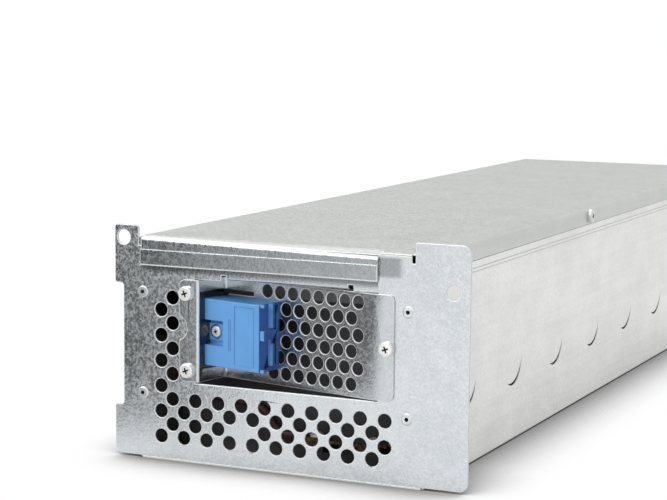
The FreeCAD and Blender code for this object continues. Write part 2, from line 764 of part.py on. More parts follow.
def make_front_plate():
    body = new_body("front_plate")
    skin = D.plate_sheet
    edge = D.plate_width / 2
    step = under_cover - D.step_gap
    slot_bottom = step - D.slot_depth
    left_ear, right_ear = left + D.left_ear_inner, right - D.right_ear_inner
    sketch = new_sketch(body, "XZ", front)
    draw_polygon(sketch, [
        (-edge, floor_top), (edge, floor_top), (edge, D.plate_height),
        (right_ear, D.plate_height), (right_ear, slot_bottom),
        (right_ear - D.slot_width, slot_bottom), (right_ear - D.slot_width, step),
        (left_ear + D.slot_width, step), (left_ear + D.slot_width, slot_bottom),
        (left_ear, slot_bottom), (left_ear, D.plate_height),
        (-edge, D.plate_height), (-edge, D.edge_notch_top),
        (D.edge_notch - edge, D.edge_notch_top), (D.edge_notch - edge, D.edge_notch_bottom),
        (-edge, D.edge_notch_bottom)])
    pad(body, sketch, "XZ", skin)

    # Lower flange, which stands on the tray's floor.
    corner = D.bend + D.tray_sheet
    sketch = new_sketch(body, "XY", floor_top)
    draw_box(sketch, (left + corner, behind_plate), (right - corner, behind_plate + D.foot_flange))
    pad(body, sketch, "XY", skin)

    # Window, with a folded brow between two relief notches.
    brow = D.window_top + D.brow_rise
    brow_left, brow_right = window_left + D.brow_left, window_right - D.brow_right
    notch_left, notch_right = brow_left - D.brow_relief, brow_right + D.brow_relief
    relief_top = brow + skin + D.bend / 2
    sketch = new_sketch(body, "XZ", front)
    draw_polygon(sketch, [
        (window_left, D.window_bottom), (window_right, D.window_bottom),
        (window_right, D.window_top), (notch_right, D.window_top), (notch_right, relief_top),
        (brow_right, relief_top), (brow_right, brow), (brow_left, brow), (brow_left, relief_top),
        (notch_left, relief_top), (notch_left, D.window_top), (window_left, D.window_top)])
    pocket(body, sketch, "XZ", skin)
    sketch = new_sketch(body, "XY", brow)
    draw_box(sketch, (brow_left, behind_plate), (brow_right, behind_plate + D.brow_depth))
    pad(body, sketch, "XY", skin)
    round_edges(body, "x", [(front, brow)], skin)

    round_edges(body, "y", [(-edge, floor_top), (edge, floor_top), (edge, D.plate_height)],
                D.plate_corner)
    round_edges(body, "y", [
        (-edge, D.plate_height), (left_ear, D.plate_height),
        (right_ear, D.plate_height), (D.edge_notch - edge, D.edge_notch_top),
        (D.edge_notch - edge, D.edge_notch_bottom), (-edge, D.edge_notch_top),
        (-edge, D.edge_notch_bottom)], D.small_corner)

    sketch = new_sketch(body, "XZ", front)
    for column, row in vent_places():
        draw_circle(sketch, (left + D.vent_left + D.vent_pitch * (column / 2),
                             D.vent_bottom + D.vent_pitch * (row / 2)), D.vent_radius)
    for spot in rivet_spots:
        draw_circle(sketch, spot, D.rivet_hole)
    for spot in pan_screw_spots:
        draw_circle(sketch, spot, D.screw_hole)
    draw_circle(sketch, (D.left_hole_x - edge, D.plate_height - D.left_hole_drop), D.ear_hole)
    draw_circle(sketch, (edge - D.right_hole_x, D.plate_height - D.right_hole_drop), D.ear_hole)
    pocket(body, sketch, "XZ", skin)
    return body


# The connector pan and the plug, in the slanted frame ------------------------------------

PANEL_ROWS = 6
LONG_ROW = 8


def make_connector_pan():
    body = new_body("folded_pan")
    skin = D.tray_sheet
    flange_left, flange_right = D.pan_left_flange, D.pan_right_flange
    half_turn = tangent(D.pan_angle / 2)
    slide = skin * (1 - sin_pan) / cos_pan
    outer_left = (-flange_left * cos_pan, -wall_length - flange_left * sin_pan)
    outer_right = (panel_length + flange_right * cos_pan, flange_right * sin_pan)

    def behind(spot):
        return (spot[0] - skin * sin_pan, spot[1] + skin * cos_pan)

    sketch = new_sketch(body, "XY", pan_low)
    fold_right = (panel_length + skin * half_turn * cos_pan, skin * half_turn * sin_pan)
    draw_polygon(sketch, [
        outer_left, (ZERO, -wall_length), (ZERO, ZERO), (panel_length, ZERO), outer_right,
        behind(outer_right), behind(fold_right), (-skin, skin),
        (-skin, skin * cos_pan - slide * sin_pan - wall_length), behind(outer_left)])
    pad(body, sketch, "XY", pan_high - pan_low)
    round_edges(body, "z", [(0, 0), (0, -wall_length)], D.bend)
    round_edges(body, "z", [(-skin, skin)], D.bend + skin)

    # The staggered holes of the panel.
    sketch = new_sketch(body, "XZ", -skin)
    for row in range(PANEL_ROWS):
        stagger = row % 2
        for number in range(LONG_ROW - stagger):
            along = panel_length - D.hole_edge - D.hole_pitch * (number + stagger / 2)
            draw_circle(sketch, (along, pan_high - D.hole_drop - D.hole_rise * row), D.hole_radius)
    draw_circle(sketch, (D.plug_screw_place, plug_level), D.screw_hole)
    pocket(body, sketch, "XZ", 3 * skin)

    # The plug passes through the wall, and two relief slots leave the panel a tongue behind it.
    opening_low = plug_level - D.plug_height / 2 - D.opening_below
    opening_high = plug_level + D.plug_height / 2 + D.opening_above
    tongue_low, tongue_high = opening_low + D.relief_height, opening_high - D.relief_height
    opening_front = wall_length - D.bend
    sketch = new_sketch(body, "XZ", -opening_front)
    draw_polygon(sketch, [
        (-2 * skin, opening_low), (D.relief_length, opening_low), (D.relief_length, tongue_low),
        (D.bend, tongue_low), (D.bend, tongue_high), (D.relief_length, tongue_high),
        (D.relief_length, opening_high), (-2 * skin, opening_high)])
    pocket(body, sketch, "XZ", opening_front + 2 * skin)

    # Rounded corners of both flanges.
    out = Vector(-sin_pan.value, cos_pan.value, 0)
    corners = [Vector(spot[0].value, spot[1].value, as_size(level).value)
               for spot in (outer_left, outer_right)
               for level in (pan_low, pan_high)]
    round_lines(body, out, corners, D.pan_corner)
    slant(body, (ZERO, ZERO, ZERO))

    # The flanges' screw holes, and the round notch in the left one.
    depth = 4 * skin
    start = front - 2 * skin
    notch = pan_left - flange_left - D.pan_notch_radius + D.pan_notch_depth
    cutters = [rod(D.screw_hole, depth, (x, start, z)) for x, z in pan_screw_spots]
    cutters.append(rod(D.pan_notch_radius, depth, (notch, start, pan_low + D.pan_notch_rise)))
    item = doc.addObject("Part::Cut", "connector_pan")
    item.Label = "connector_pan"
    item.Base = body
    item.Tool = joined("pan_cutters", cutters)
    return item


def rod(radius, length, spot):
    """A cylinder along Y."""
    item = doc.addObject("Part::Cylinder", "rod")
    bind(item, "Radius", radius)
    bind(item, "Height", length)
    place(item, spot, Rotation(Vector(1, 0, 0), -90))
    return item


def round_face(body, level, radius):
    """Round every edge of the body's flat face at a level along Y."""
    base = body.Tip
    names = [f"Edge{number}" for number, edge in enumerate(base.Shape.Edges, start=1)
             if all(abs(vertex.Y - level.value) < 0.001 for vertex in edge.Vertexes)]
    feature = body.newObject("PartDesign::Fillet", f"{body.Label}_round")
    feature.Base = (base, names)
    bind(feature, "Radius", radius)
    doc.recompute()
    return feature


contact_levels = [plug_level - D.contact_spread / 2, plug_level + D.contact_spread / 2]
lead_start = D.plug_start + D.bore_length - D.barrel_length


def make_plug_housing():
    body = new_body("plug_housing")
    start, end, face = D.plug_start, plug_end, -D.plug_thick
    low, high = plug_level - D.plug_height / 2, plug_level + D.plug_height / 2
    sketch = new_sketch(body, "XZ", face)
    draw_box(sketch, (start, low), (end, high))
    pad(body, sketch, "XZ", D.plug_thick)
    round_edges(body, "y", [(start, low), (start, high)], D.plug_corner)
    sketch = new_sketch(body, "XZ", face)
    draw_box(sketch, (start, low), (start + D.ledge_length, high))
    pocket(body, sketch, "XZ", D.ledge_drop)
    round_face(body, face, D.plug_edge)

    # A ridge and a shallow panel on the face.
    ridge, panel = D.ridge_height / 2, D.mark_height / 2
    sketch = new_sketch(body, "XZ", face - D.mark_depth)
    draw_box(sketch, (D.ridge_start, plug_level - ridge),
             (D.ridge_start + D.ridge_width, plug_level + ridge))
    pad(body, sketch, "XZ", D.mark_depth)
    sketch = new_sketch(body, "XZ", face)
    draw_box(sketch, (D.mark_start, plug_level - panel), (D.mark_end, plug_level + panel))
    pocket(body, sketch, "XZ", D.mark_depth)
    add_mating_end(body, low, high)

    # Recess of the fixing screw, open at the left end, with a boss round the head.
    recess = D.recess_height / 2
    sketch = new_sketch(body, "XZ", face)
    draw_box(sketch, (start, plug_level - recess), (D.recess_end, plug_level + recess))
    pocket(body, sketch, "XZ", D.recess_depth)
    boss, screw_x = D.boss_size / 2, D.plug_screw_place
    boss_top = D.recess_depth - D.boss_rise
    sketch = new_sketch(body, "XZ", face + boss_top)
    draw_box(sketch, (screw_x - boss, plug_level - boss), (screw_x + boss, plug_level + boss))
    pad(body, sketch, "XZ", D.boss_rise)
    for radius, depth in ((D.sink_radius, boss_top + D.sink_depth), (D.screw_hole, None)):
        sketch = new_sketch(body, "XZ", face)
        draw_circle(sketch, (screw_x, plug_level), radius)
        pocket(body, sketch, "XZ", depth)

    # Chambers of the contacts, and the bores of their leads.
    for level in contact_levels:
        bore_end = start + D.bore_length
        sketch = new_sketch(body, "YZ", bore_end - D.over_cut)
        half = D.chamber_width / 2
        deep = D.chamber_floor + D.chamber_depth
        draw_box(sketch, (-deep, level - half), (-D.chamber_floor, level + half))
        pocket(body, sketch, "YZ", end - bore_end + D.over_cut)
        sketch = new_sketch(body, "YZ", start - D.over_cut)
        draw_circle(sketch, (-D.bore_level, level), D.bore_radius)
        pocket(body, sketch, "YZ", D.bore_length + D.over_cut)
    slant(body, (ZERO, ZERO, ZERO))
    return body


def add_mating_end(body, low, high):
    """Two lips and a rib stand out of the end, with a tongue behind each space between."""
    end = plug_end
    rib = plug_level + D.rib_rise - D.rib_height / 2
    rib_top = rib + D.rib_height
    sketch = new_sketch(body, "XZ", D.plug_edge - D.plug_thick)
    for bottom, upper in ((low, low + D.lip_height), (rib, rib_top), (high - D.lip_height, high)):
        draw_box(sketch, (end, bottom), (end + D.lip_reach, upper))
    pad(body, sketch, "XZ", D.lip_thick)
    foot, tip = low + D.tongue_drop, end + D.tongue_reach
    notch = (tip - D.tongue_notch, rib - D.tongue_step)
    sketch = new_sketch(body, "XZ", -D.tongue_base - D.tongue_thick)
    draw_polygon(sketch, [(end, foot), (tip, foot), (tip, notch[1]), notch, (notch[0], rib),
                          (end, rib)])
    draw_box(sketch, (end, rib_top + D.tongue_gap), (tip, high))
    pad(body, sketch, "XZ", D.tongue_thick)


def make_contact(label, level):
    """A blade on its chamber's floor, with the barrel that grips the lead."""
    body = new_body(label)
    half = D.contact_width / 2
    barrel_end = lead_start + D.barrel_length
    sketch = new_sketch(body, "YZ", lead_start)
    draw_circle(sketch, (-D.bore_level, level), D.barrel_radius)
    pad(body, sketch, "YZ", D.barrel_length)
    neck = D.contact_thick / 2
    sketch = new_sketch(body, "YZ", barrel_end - neck)
    draw_box(sketch, (-D.bore_level, level - D.barrel_radius / 2),
             (-D.chamber_floor, level + D.barrel_radius / 2))
    pad(body, sketch, "YZ", neck)
    sketch = new_sketch(body, "YZ", barrel_end - neck)
    draw_box(sketch, (-D.chamber_floor - D.contact_thick, level - half),
             (-D.chamber_floor, level + half))
    pad(body, sketch, "YZ", plug_end - D.contact_thick - barrel_end)
    slant(body, (ZERO, ZERO, ZERO))
    return body


# Fasteners ------------------------------------------------------------------------------

def screw_profile(head, length):
    """Half profile of a pan-head screw: the head stands on negative heights."""
    shank, rise = D.screw_radius, D.head_height
    return [(ZERO, -rise), (head * D.head_crown, -rise), (head, -rise * D.head_edge), (head, ZERO),
            (shank, ZERO), (shank, length), (ZERO, length)]


def make_pan_screws():
    length = D.tray_sheet + D.plate_sheet + D.screw_reach
    screws = [turned(f"pan_screw_{number}", screw_profile(D.head_radius, length),
                     (x, front - D.tray_sheet, z))
              for number, (x, z) in enumerate(pan_screw_spots, start=1)]
    return group("pan_screws", screws)


def make_cover_screws():
    length = D.cover_sheet + D.tray_sheet + D.screw_reach
    screws = []
    for side, x, angle in (("left", left, -90), ("right", right, 90)):
        for number, row in enumerate(cover_screw_rows, start=1):
            screws.append(turned(
                f"cover_screw_{side}_{number}", screw_profile(D.cover_head_radius, length),
                (x, row, cover_screw_level), Rotation(Vector(0, 0, 1), angle)))
    return group("cover_screws", screws)


def make_front_rivets():
    bore, shank, bulb = D.rivet_bore, D.rivet_radius, D.rivet_bulb
    grip = D.plate_sheet + D.tray_sheet
    end = grip + D.rivet_length
    profile = [(bore, -D.rivet_rise), (D.rivet_crown, -D.rivet_rise), (D.rivet_head, ZERO),
               (shank, ZERO), (shank, grip), (bulb, grip), (bulb, end), (bore, end)]
    rivets = [turned(f"rivet_{number}", profile, (x, front, z))
              for number, (x, z) in enumerate(rivet_spots, start=1)]
    return group("front_rivets", rivets)


def make_plug_screw():
    """From its seat through the plug and the panel to the nut behind."""
    seat = D.recess_depth - D.boss_rise + D.sink_depth - D.plug_thick
    length = D.tray_sheet + D.nut_height + D.nut_reach - seat
    item = turned("plug_screw", screw_profile(D.plug_head, length), (ZERO, ZERO, ZERO))
    slant(item, (D.plug_screw_place, seat, plug_level))
    return item


def make_plug_nut():
    body = new_body("plug_nut")
    spot = (D.plug_screw_place, plug_level)
    sketch = new_sketch(body, "XZ", D.tray_sheet)
    corners = [as_size(angle) for angle in range(0, 360, 60)]
    draw_polygon(sketch, [(spot[0] + D.nut_radius * cosine(corner),
                           spot[1] + D.nut_radius * sine(corner)) for corner in corners])
    pad(body, sketch, "XZ", D.nut_height)
    sketch = new_sketch(body, "XZ", D.tray_sheet)
    draw_circle(sketch, spot, D.screw_hole)
    pocket(body, sketch, "XZ")
    slant(body, (ZERO, ZERO, ZERO))
    return body


# The blocks and what holds them ----------------------------------------------------------

def make_block(number):
    body = new_body(f"battery_block_{number}")
    half = D.block_width / 2
    start = block_start(number)
    end = start + D.block_depth
    sketch = new_sketch(body, "XY", block_floor)
    draw_box(sketch, (middle - half, start), (middle + half, end))
    pad(body, sketch, "XY", D.block_height - D.block_lid)
    round_edges(body, "z", [(x, y) for x in (middle - half, middle + half) for y in (start, end)],
                D.block_corner)
    inset = D.lid_inset
    sketch = new_sketch(body, "XY", block_top - D.block_lid)
    draw_box(sketch, (middle - half + inset, start + inset), (middle + half - inset, end - inset))
    pad(body, sketch, "XY", D.block_lid)
    return body


def terminal_spot(number, side):
    """Odd blocks have their terminals near the rear edge, even ones near the front."""
    x = middle + side * (D.block_width / 2 - D.terminal_inset)
    if number % 2:
        return x, block_start(number) + D.block_depth - D.terminal_edge
    return x, block_start(number) + D.terminal_edge


def make_terminals(label, sides):
    blades = []
    for number, side in sides:
        x, y = terminal_spot(number, side)
        low = (x - D.blade / 2, y - D.terminal_width / 2, block_top)
        blades.append(box(f"{label}_{number}", low, (D.blade, D.terminal_width, D.terminal_height)))
    return group(label, blades)


def make_links(label, firsts, side):
    """Strips welded to the inner faces of neighbouring blades."""
    links = []
    for number in firsts:
        x, start = terminal_spot(number, side)
        end = terminal_spot(number + 1, side)[1]
        inner = x + D.blade / 2 if side < 0 else x - D.blade / 2 - D.blade
        low = (inner, start - D.terminal_width / 2, block_top + D.link_rise)
        links.append(box(f"{label}_{number}", low,
                         (D.blade, end - start + D.terminal_width, D.link_height)))
    return group(label, links)


def make_spacers():
    inset = D.spacer_inset
    size = (D.block_width - 2 * inset, D.spacer - 2 * D.foam_squeeze, D.block_height - 2 * inset)
    pieces = []
    for number in range(1, count):
        low = (middle - D.block_width / 2 + inset,
               block_start(number) + D.block_depth + D.foam_squeeze, block_floor)
        pieces.append(box(f"spacer_{number}", low, size))
    return group("block_spacers", pieces)


def make_packing():
    """Sheets and foam round the row of blocks."""
    start, half = block_start(1), D.block_width / 2
    end = start + blocks_length
    low_x = middle - half
    liner = box("floor_liner", (low_x, start, floor_top), (2 * half, blocks_length, D.liner))
    inset = D.spacer_inset
    rear = box("end_pad", (low_x + inset, end, block_floor + inset),
               (2 * (half - inset), D.rear_room, D.block_height - 2 * inset))
    insulation = box("cover_insulation", (low_x, start, under_cover - D.liner),
                     (2 * half, blocks_length, D.liner))
    foam_start, foam_end = block_start(2), block_start(count - 1)
    foam_size = (D.foam_width, foam_end - foam_start, under_cover - D.liner - block_top)
    strips = [box(f"top_foam_{side}", (middle + place_x - D.foam_width / 2, foam_start, block_top),
                  foam_size)
              for side, place_x in (("left", -D.foam_place), ("right", D.foam_place))]
    top_foam = group("hold_down_foam", strips)
    squeeze, level = D.foam_squeeze, floor_top + D.bend
    size = ((inner_right - inner_left) / 2 - half - 2 * squeeze, blocks_length, D.side_foam_height)
    sides = [box("side_foam_left", (inner_left + squeeze, start, level), size),
             box("side_foam_right", (middle + half + squeeze, start, level), size)]
    return [liner, rear, insulation, top_foam, group("side_foam", sides)]


# The fuse and the leads -------------------------------------------------------------------

fuse_left = left + D.fuse_left
fuse_right = fuse_left + D.fuse_length
fuse_y = front + D.fuse_front + D.fuse_depth / 2
fuse_top = floor_top + D.fuse_height
bolt_places = [fuse_left + D.fuse_edge, fuse_right - D.fuse_edge]


def make_fuse():
    """A moulded holder, the blade across it and the bolts through both."""
    holder = new_body("fuse_holder")
    half_depth, extra = D.fuse_depth / 2, D.over_cut
    sketch = new_sketch(holder, "XY", floor_top)
    draw_box(sketch, (fuse_left, fuse_y - half_depth), (fuse_right, fuse_y + half_depth))
    pad(holder, sketch, "XY", D.fuse_height)
    neck_left, neck_right = fuse_left + 2 * D.fuse_edge, fuse_right - 2 * D.fuse_edge
    sketch = new_sketch(holder, "XY", fuse_top - D.fuse_neck)
    draw_box(sketch, (neck_left, fuse_y - half_depth - extra),
             (neck_right, fuse_y + half_depth + extra))
    pocket(holder, sketch, "XY", D.fuse_neck + extra)
    sketch = new_sketch(holder, "XY", floor_top + D.fuse_floor)
    for x in bolt_places:
        draw_circle(sketch, (x, fuse_y), D.screw_hole)
    pocket(holder, sketch, "XY", D.fuse_height)

    blade = new_body("fuse_blade")
    half, neck = D.fuse_width / 2, D.fuse_neck / 2
    blade_left, blade_right = fuse_left + D.fuse_inset, fuse_right - D.fuse_inset
    upper = [(blade_right, half), (neck_right, half), (neck_right, neck), (neck_left, neck),
             (neck_left, half), (blade_left, half)]
    lower = [(x, -y) for x, y in reversed(upper)]
    sketch = new_sketch(blade, "XY", fuse_top)
    draw_polygon(sketch, [(x, fuse_y + y) for x, y in upper + lower])
    pad(blade, sketch, "XY", D.fuse_thick)
    sketch = new_sketch(blade, "XY", fuse_top - extra)
    for x in bolt_places:
        draw_circle(sketch, (x, fuse_y), D.screw_hole)
    pocket(blade, sketch, "XY", D.fuse_thick + 2 * extra)

    seat = fuse_top + D.fuse_thick + D.lug_thick
    bolts = [turned(f"fuse_bolt_{number}", screw_profile(D.head_radius, D.fuse_bolt),
                    (x, fuse_y, seat), Rotation(Vector(1, 0, 0), -90))
             for number, x in enumerate(bolt_places, start=1)]
    return [holder, blade, group("fuse_bolts", bolts)]


def make_lugs():
    """Flat lugs: two under the fuse bolts, and one on each end terminal."""
    seat = fuse_top + D.fuse_thick
    half = D.fuse_width / 2
    lugs = []
    for number, (x, low_x) in enumerate(zip(bolt_places, (bolt_places[0] - D.lug_length,
                                                          bolt_places[1] - half)), start=1):
        plate = box(f"lug_plate_{number}", (low_x, fuse_y - half, seat),
                    (D.lug_length + half, D.fuse_width, D.lug_thick))
        hole = doc.addObject("Part::Cylinder", f"lug_hole_{number}")
        bind(hole, "Radius", D.screw_hole)
        bind(hole, "Height", D.lug_thick)
        place(hole, (x, fuse_y, seat))
        lug = doc.addObject("Part::Cut", f"lug_{number}")
        lug.Base = plate
        lug.Tool = hole
        lugs.append(lug)
    for number in (1, count):
        x, y = terminal_spot(number, 1)
        low = (x - D.blade / 2 - D.lug_thick, y - D.lug_length / 2, block_top + D.lug_lift)
        lugs.append(box(f"lug_{number}_end", low, (D.lug_thick, D.lug_length, D.terminal_height)))
    return group("lead_lugs", lugs)


# A bend takes this part of the shorter run beside it.
BEND_SHARE = 0.48


def straight_run(start, end, radius):
    return Part.makeCylinder(radius, start.distanceToPoint(end), start, end - start)


def lead(label, spots):
    """A round lead along straight runs joined by arcs as large as the runs allow."""
    route = [Vector(*(as_size(value).value for value in spot)) for spot in spots]
    radius = D.lead_radius.value
    pieces = []
    last = route[0]
    for before, here, after in zip(route, route[1:], route[2:]):
        arriving, leaving = here - before, after - here
        turn = arriving.getAngle(leaving)
        reach = BEND_SHARE * min(arriving.Length, leaving.Length)
        axis = arriving.cross(leaving).normalize()
        start = here - arriving.normalize() * reach
        centre = start + axis.cross(arriving) * (reach / math.tan(turn / 2))
        section = Part.Face(Part.Wire(Part.makeCircle(radius, start, arriving)))
        pieces.append(straight_run(last, start, radius))
        pieces.append(section.revolve(centre, axis, math.degrees(turn)))
        last = here + leaving.normalize() * reach
    pieces.append(straight_run(last, route[-1], radius))
    item = doc.addObject("Part::Feature", label)
    item.Label = label
    item.Shape = pieces[0].fuse(pieces[1:]).removeSplitter()
    if len(item.Shape.Solids) != 1:
        raise RuntimeError(f"{label}: its runs don't join")
    return item


def make_leads():
    """From the plug to the fuse, from the fuse to the first block, and along to the last."""
    clear, lane = D.lead_clear, left + D.lead_side
    start_low, start_high = (from_pan(lead_start, -D.bore_level, level) for level in contact_levels)
    turn_low, turn_high = (
        from_pan((lane - pan_x + D.bore_level * sin_pan) / cos_pan, -D.bore_level, level)
        for level in contact_levels)
    lug_level = fuse_top + D.fuse_thick + D.lug_thick / 2
    fuse_in = bolt_places[0] - D.lug_length
    fuse_out = bolt_places[1] + D.lug_length
    crest, over = block_top + D.lead_bow, block_top + D.lead_over
    end_x = terminal_spot(1, 1)[0] - (D.blade + D.lug_thick) / 2
    first_y, last_y = (terminal_spot(number, 1)[1] - D.lug_length / 2 for number in (1, count))
    end_level = block_top + D.lug_lift + D.terminal_height / 2

    low_y = turn_low[1]
    low_run = turn_low[2] - D.lead_low
    red_front = [
        start_low, turn_low, (lane, low_y, low_run),
        (fuse_in - D.lead_dip, low_y, low_run - D.lead_fall),
        (fuse_in - D.lead_foot, fuse_y, lug_level), (fuse_in - clear, fuse_y, lug_level)]
    rise_x = right - D.lead_edge
    red_rear = [
        (fuse_out + clear, fuse_y, lug_level), (rise_x, fuse_y, lug_level),
        (rise_x, fuse_y, crest), (end_x, first_y - D.lead_tail, end_level),
        (end_x, first_y - 2 * clear, end_level)]
    run = middle - D.lead_lane
    black = [
        start_high, turn_high, (lane, turn_high[1], crest),
        (run, block_start(2) - D.lead_join, over),
        (run, block_start(count - 1) + D.lead_leave, over),
        (end_x, last_y - D.lead_stub, end_level), (end_x, last_y - 2 * clear, end_level)]
    return [lead("lead_red_front", red_front), lead("lead_red_rear", red_rear),
            lead("lead_black", black)]


# The whole cartridge --------------------------------------------------------------------

def build():
    parts = [make_base_tray(), make_rear_panel(), make_top_cover(), make_front_plate(),
             make_connector_pan(), make_plug_housing()]
    parts += [make_contact("plug_contact_lower", contact_levels[0]),
              make_contact("plug_contact_upper", contact_levels[1]),
              make_plug_screw(), make_plug_nut(), make_pan_screws(), make_cover_screws(),
              make_front_rivets()]
    parts += [make_block(number) for number in range(1, count + 1)]
    plus = [(number, 1 if number % 2 else -1) for number in range(1, count + 1)]
    minus = [(number, -side) for number, side in plus]
    parts += [make_terminals("terminals_positive", plus),
              make_terminals("terminals_negative", minus),
              make_links("links_left", range(1, count, 2), -1),
              make_links("links_right", range(2, count, 2), 1),
              make_spacers()]
    parts += make_packing()
    parts += make_fuse()
    parts.append(make_lugs())
    parts += make_leads()
    return parts


def check(parts):
    doc.recompute()
    for item in doc.Objects:
        if "Invalid" in item.State or "Error" in item.State:
            raise RuntimeError(f"{item.Label} failed: {item.State}")
    for item in parts:
        if item.Shape.isNull() or not item.Shape.isValid() or not item.Shape.Solids:
            raise RuntimeError(f"{item.Label} has no valid solid")


def export(parts):
    os.makedirs("parts", exist_ok=True)
    for item in parts:
        item.Shape.exportStep(f"parts/{item.Label}.step")
        print(f"{item.Label}: {len(item.Shape.Solids)} solids, {item.Shape.Volume:.0f} mm3")


cartridge = build()
check(cartridge)
export(cartridge)
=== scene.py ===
import json
import math

import bpy
import bmesh
from mathutils import Matrix, Vector


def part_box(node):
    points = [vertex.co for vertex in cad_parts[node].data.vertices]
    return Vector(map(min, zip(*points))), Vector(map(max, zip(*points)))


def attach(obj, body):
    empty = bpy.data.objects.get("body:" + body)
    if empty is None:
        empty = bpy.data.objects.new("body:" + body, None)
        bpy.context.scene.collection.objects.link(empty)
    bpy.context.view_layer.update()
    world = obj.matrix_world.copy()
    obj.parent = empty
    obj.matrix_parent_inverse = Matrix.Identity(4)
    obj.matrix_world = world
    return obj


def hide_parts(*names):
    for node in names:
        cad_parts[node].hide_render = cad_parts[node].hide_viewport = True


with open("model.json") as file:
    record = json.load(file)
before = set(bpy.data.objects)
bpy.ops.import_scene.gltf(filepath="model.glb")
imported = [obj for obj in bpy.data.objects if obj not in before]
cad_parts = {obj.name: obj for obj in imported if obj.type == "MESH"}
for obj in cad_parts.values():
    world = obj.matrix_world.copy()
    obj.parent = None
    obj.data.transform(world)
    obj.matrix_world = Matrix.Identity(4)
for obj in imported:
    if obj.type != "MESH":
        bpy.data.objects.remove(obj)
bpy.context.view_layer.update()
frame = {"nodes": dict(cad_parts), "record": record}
nodes = frame["nodes"]
MM = 0.001
UP = Vector((0, 0, 1))

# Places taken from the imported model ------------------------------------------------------

LIP_FROM_LEFT = 2.7 * MM
LIP_FROM_RIGHT = 27.3 * MM
BLOCK_LID_HEIGHT = 8 * MM

plate_low, plate_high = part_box("front_plate")
cover_low, cover_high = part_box("top_cover")
front = plate_low.y
block_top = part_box("battery_block_1")[1].z

lip_left = cover_low.x + LIP_FROM_LEFT
lip_right = cover_high.x - LIP_FROM_RIGHT
lip_bottom = min(vert.co.z for vert in nodes["top_cover"].data.vertices
                 if vert.co.y < front - 0.2 * MM)

mounts = {mount["name"]: mount for mount in frame["record"]["mounts"]}
plug_along = Vector(mounts["plug_mouth"]["axis"])
plug_out = plug_along.cross(UP)


def reach(node, direction):
    """How far a node's nearest and farthest points lie along a direction."""
    places = [vert.co.dot(direction) for vert in nodes[node].data.vertices]
    return min(places), max(places)


def islands(node):
    """Boxes of a node's separate solids, each as (lowest corner, highest corner)."""
    mesh = bmesh.new()
    mesh.from_mesh(nodes[node].data)
    bmesh.ops.remove_doubles(mesh, verts=mesh.verts, dist=1e-6)
    boxes, seen = [], set()
    for first in mesh.verts:
        if first in seen:
            continue
        seen.add(first)
        stack, island = [first], []
        while stack:
            vert = stack.pop()
            island.append(vert.co.copy())
            for edge in vert.link_edges:
                other = edge.other_vert(vert)
                if other not in seen:
                    seen.add(other)
                    stack.append(other)
        low = Vector(min(spot[axis] for spot in island) for axis in range(3))
        high = Vector(max(spot[axis] for spot in island) for axis in range(3))
        boxes.append((low, high))
    mesh.free()
    return boxes


# Shader maths ----------------------------------------------------------------------------

class Value:
    """A socket that can be used in an expression."""

    def __init__(self, finish, socket):
        self.finish = finish
        self.socket = socket

    def _math(self, operation, first, second):
        return self.finish.node("ShaderNodeMath", {"operation": operation}, [first, second])

    def __add__(self, other):
        return self._math("ADD", self, other)

    __radd__ = __add__

    def __sub__(self, other):
        return self._math("SUBTRACT", self, other)

    def __rsub__(self, other):
        return self._math("SUBTRACT", other, self)

    def __mul__(self, other):
        return self._math("MULTIPLY", self, other)

    __rmul__ = __mul__


class Finish:
    """A material built around one Principled shader."""

    def __init__(self, name, **constants):
        self.material = bpy.data.materials.new(name)
        self.material.use_nodes = True
        self.tree = self.material.node_tree
        self.shader = self.tree.nodes["Principled BSDF"]
        for socket, value in constants.items():
            self.shader.inputs[socket.replace("_", " ")].default_value = value

    def node(self, kind, settings, values, output=0):
        """Add a node: its settings first, then the values or links of its sockets."""
        node = self.tree.nodes.new(kind)
        for key, value in settings.items():
            setattr(node, key, value)
        pairs = values.items() if isinstance(values, dict) else enumerate(values)
        for key, value in pairs:
            self.join(node.inputs[key], value)
        return Value(self, node.outputs[output])

    def join(self, socket, value):
        if isinstance(value, Value):
            self.tree.links.new(value.socket, socket)
        else:
            socket.default_value = value

    def feed(self, socket, value):
        self.join(self.shader.inputs[socket], value)

    def place(self, scale=(1, 1, 1)):
        """Object coordinates in metres, stretched along the axes."""
        spot = self.node("ShaderNodeTexCoord", {}, {}, "Object")
        return self.node("ShaderNodeMapping", {}, {"Vector": spot, "Scale": scale})

    def axes(self, coordinates="Object"):
        """The separate X, Y and Z of one kind of coordinates."""
        spot = self.node("ShaderNodeTexCoord", {}, {}, coordinates)
        split = self.node("ShaderNodeSeparateXYZ", {}, [spot])
        return [Value(self, output) for output in split.socket.node.outputs]

    def noise(self, scale, detail, rough, place=None):
        return self.node("ShaderNodeTexNoise", {}, {
            "Vector": place or self.place(), "Scale": scale, "Detail": detail,
            "Roughness": rough})

    def crystals(self, scale):
        """A level from nothing to one, the same all over one crystal."""
        colour = self.node("ShaderNodeTexVoronoi", {}, {
            "Vector": self.place(), "Scale": scale}, "Color")
        return self.node("ShaderNodeSeparateColor", {}, [colour])

    def step(self, value, low, high, bottom=0.0, top=1.0):
        """A smooth change from bottom to top as the value goes from low to high."""
        return self.node("ShaderNodeMapRange", {"interpolation_type": "SMOOTHSTEP"},
                         [value, low, high, bottom, top])

    def mix(self, factor, first, second):
        return self.node("ShaderNodeMix", {"data_type": "RGBA"},
                         {0: factor, 6: tone(first), 7: tone(second)}, 2)

    def bump(self, height, strength, distance):
        normal = self.node("ShaderNodeBump", {}, {
            "Height": height, "Strength": strength, "Distance": distance})
        self.feed("Normal", normal)


def tone(colour):
    """A written colour with its alpha added; a linked colour as it is."""
    return (*colour, 1) if isinstance(colour, tuple) else colour


def times(colour, share):
    return tuple(channel * share for channel in colour)


# Finishes --------------------------------------------------------------------------------

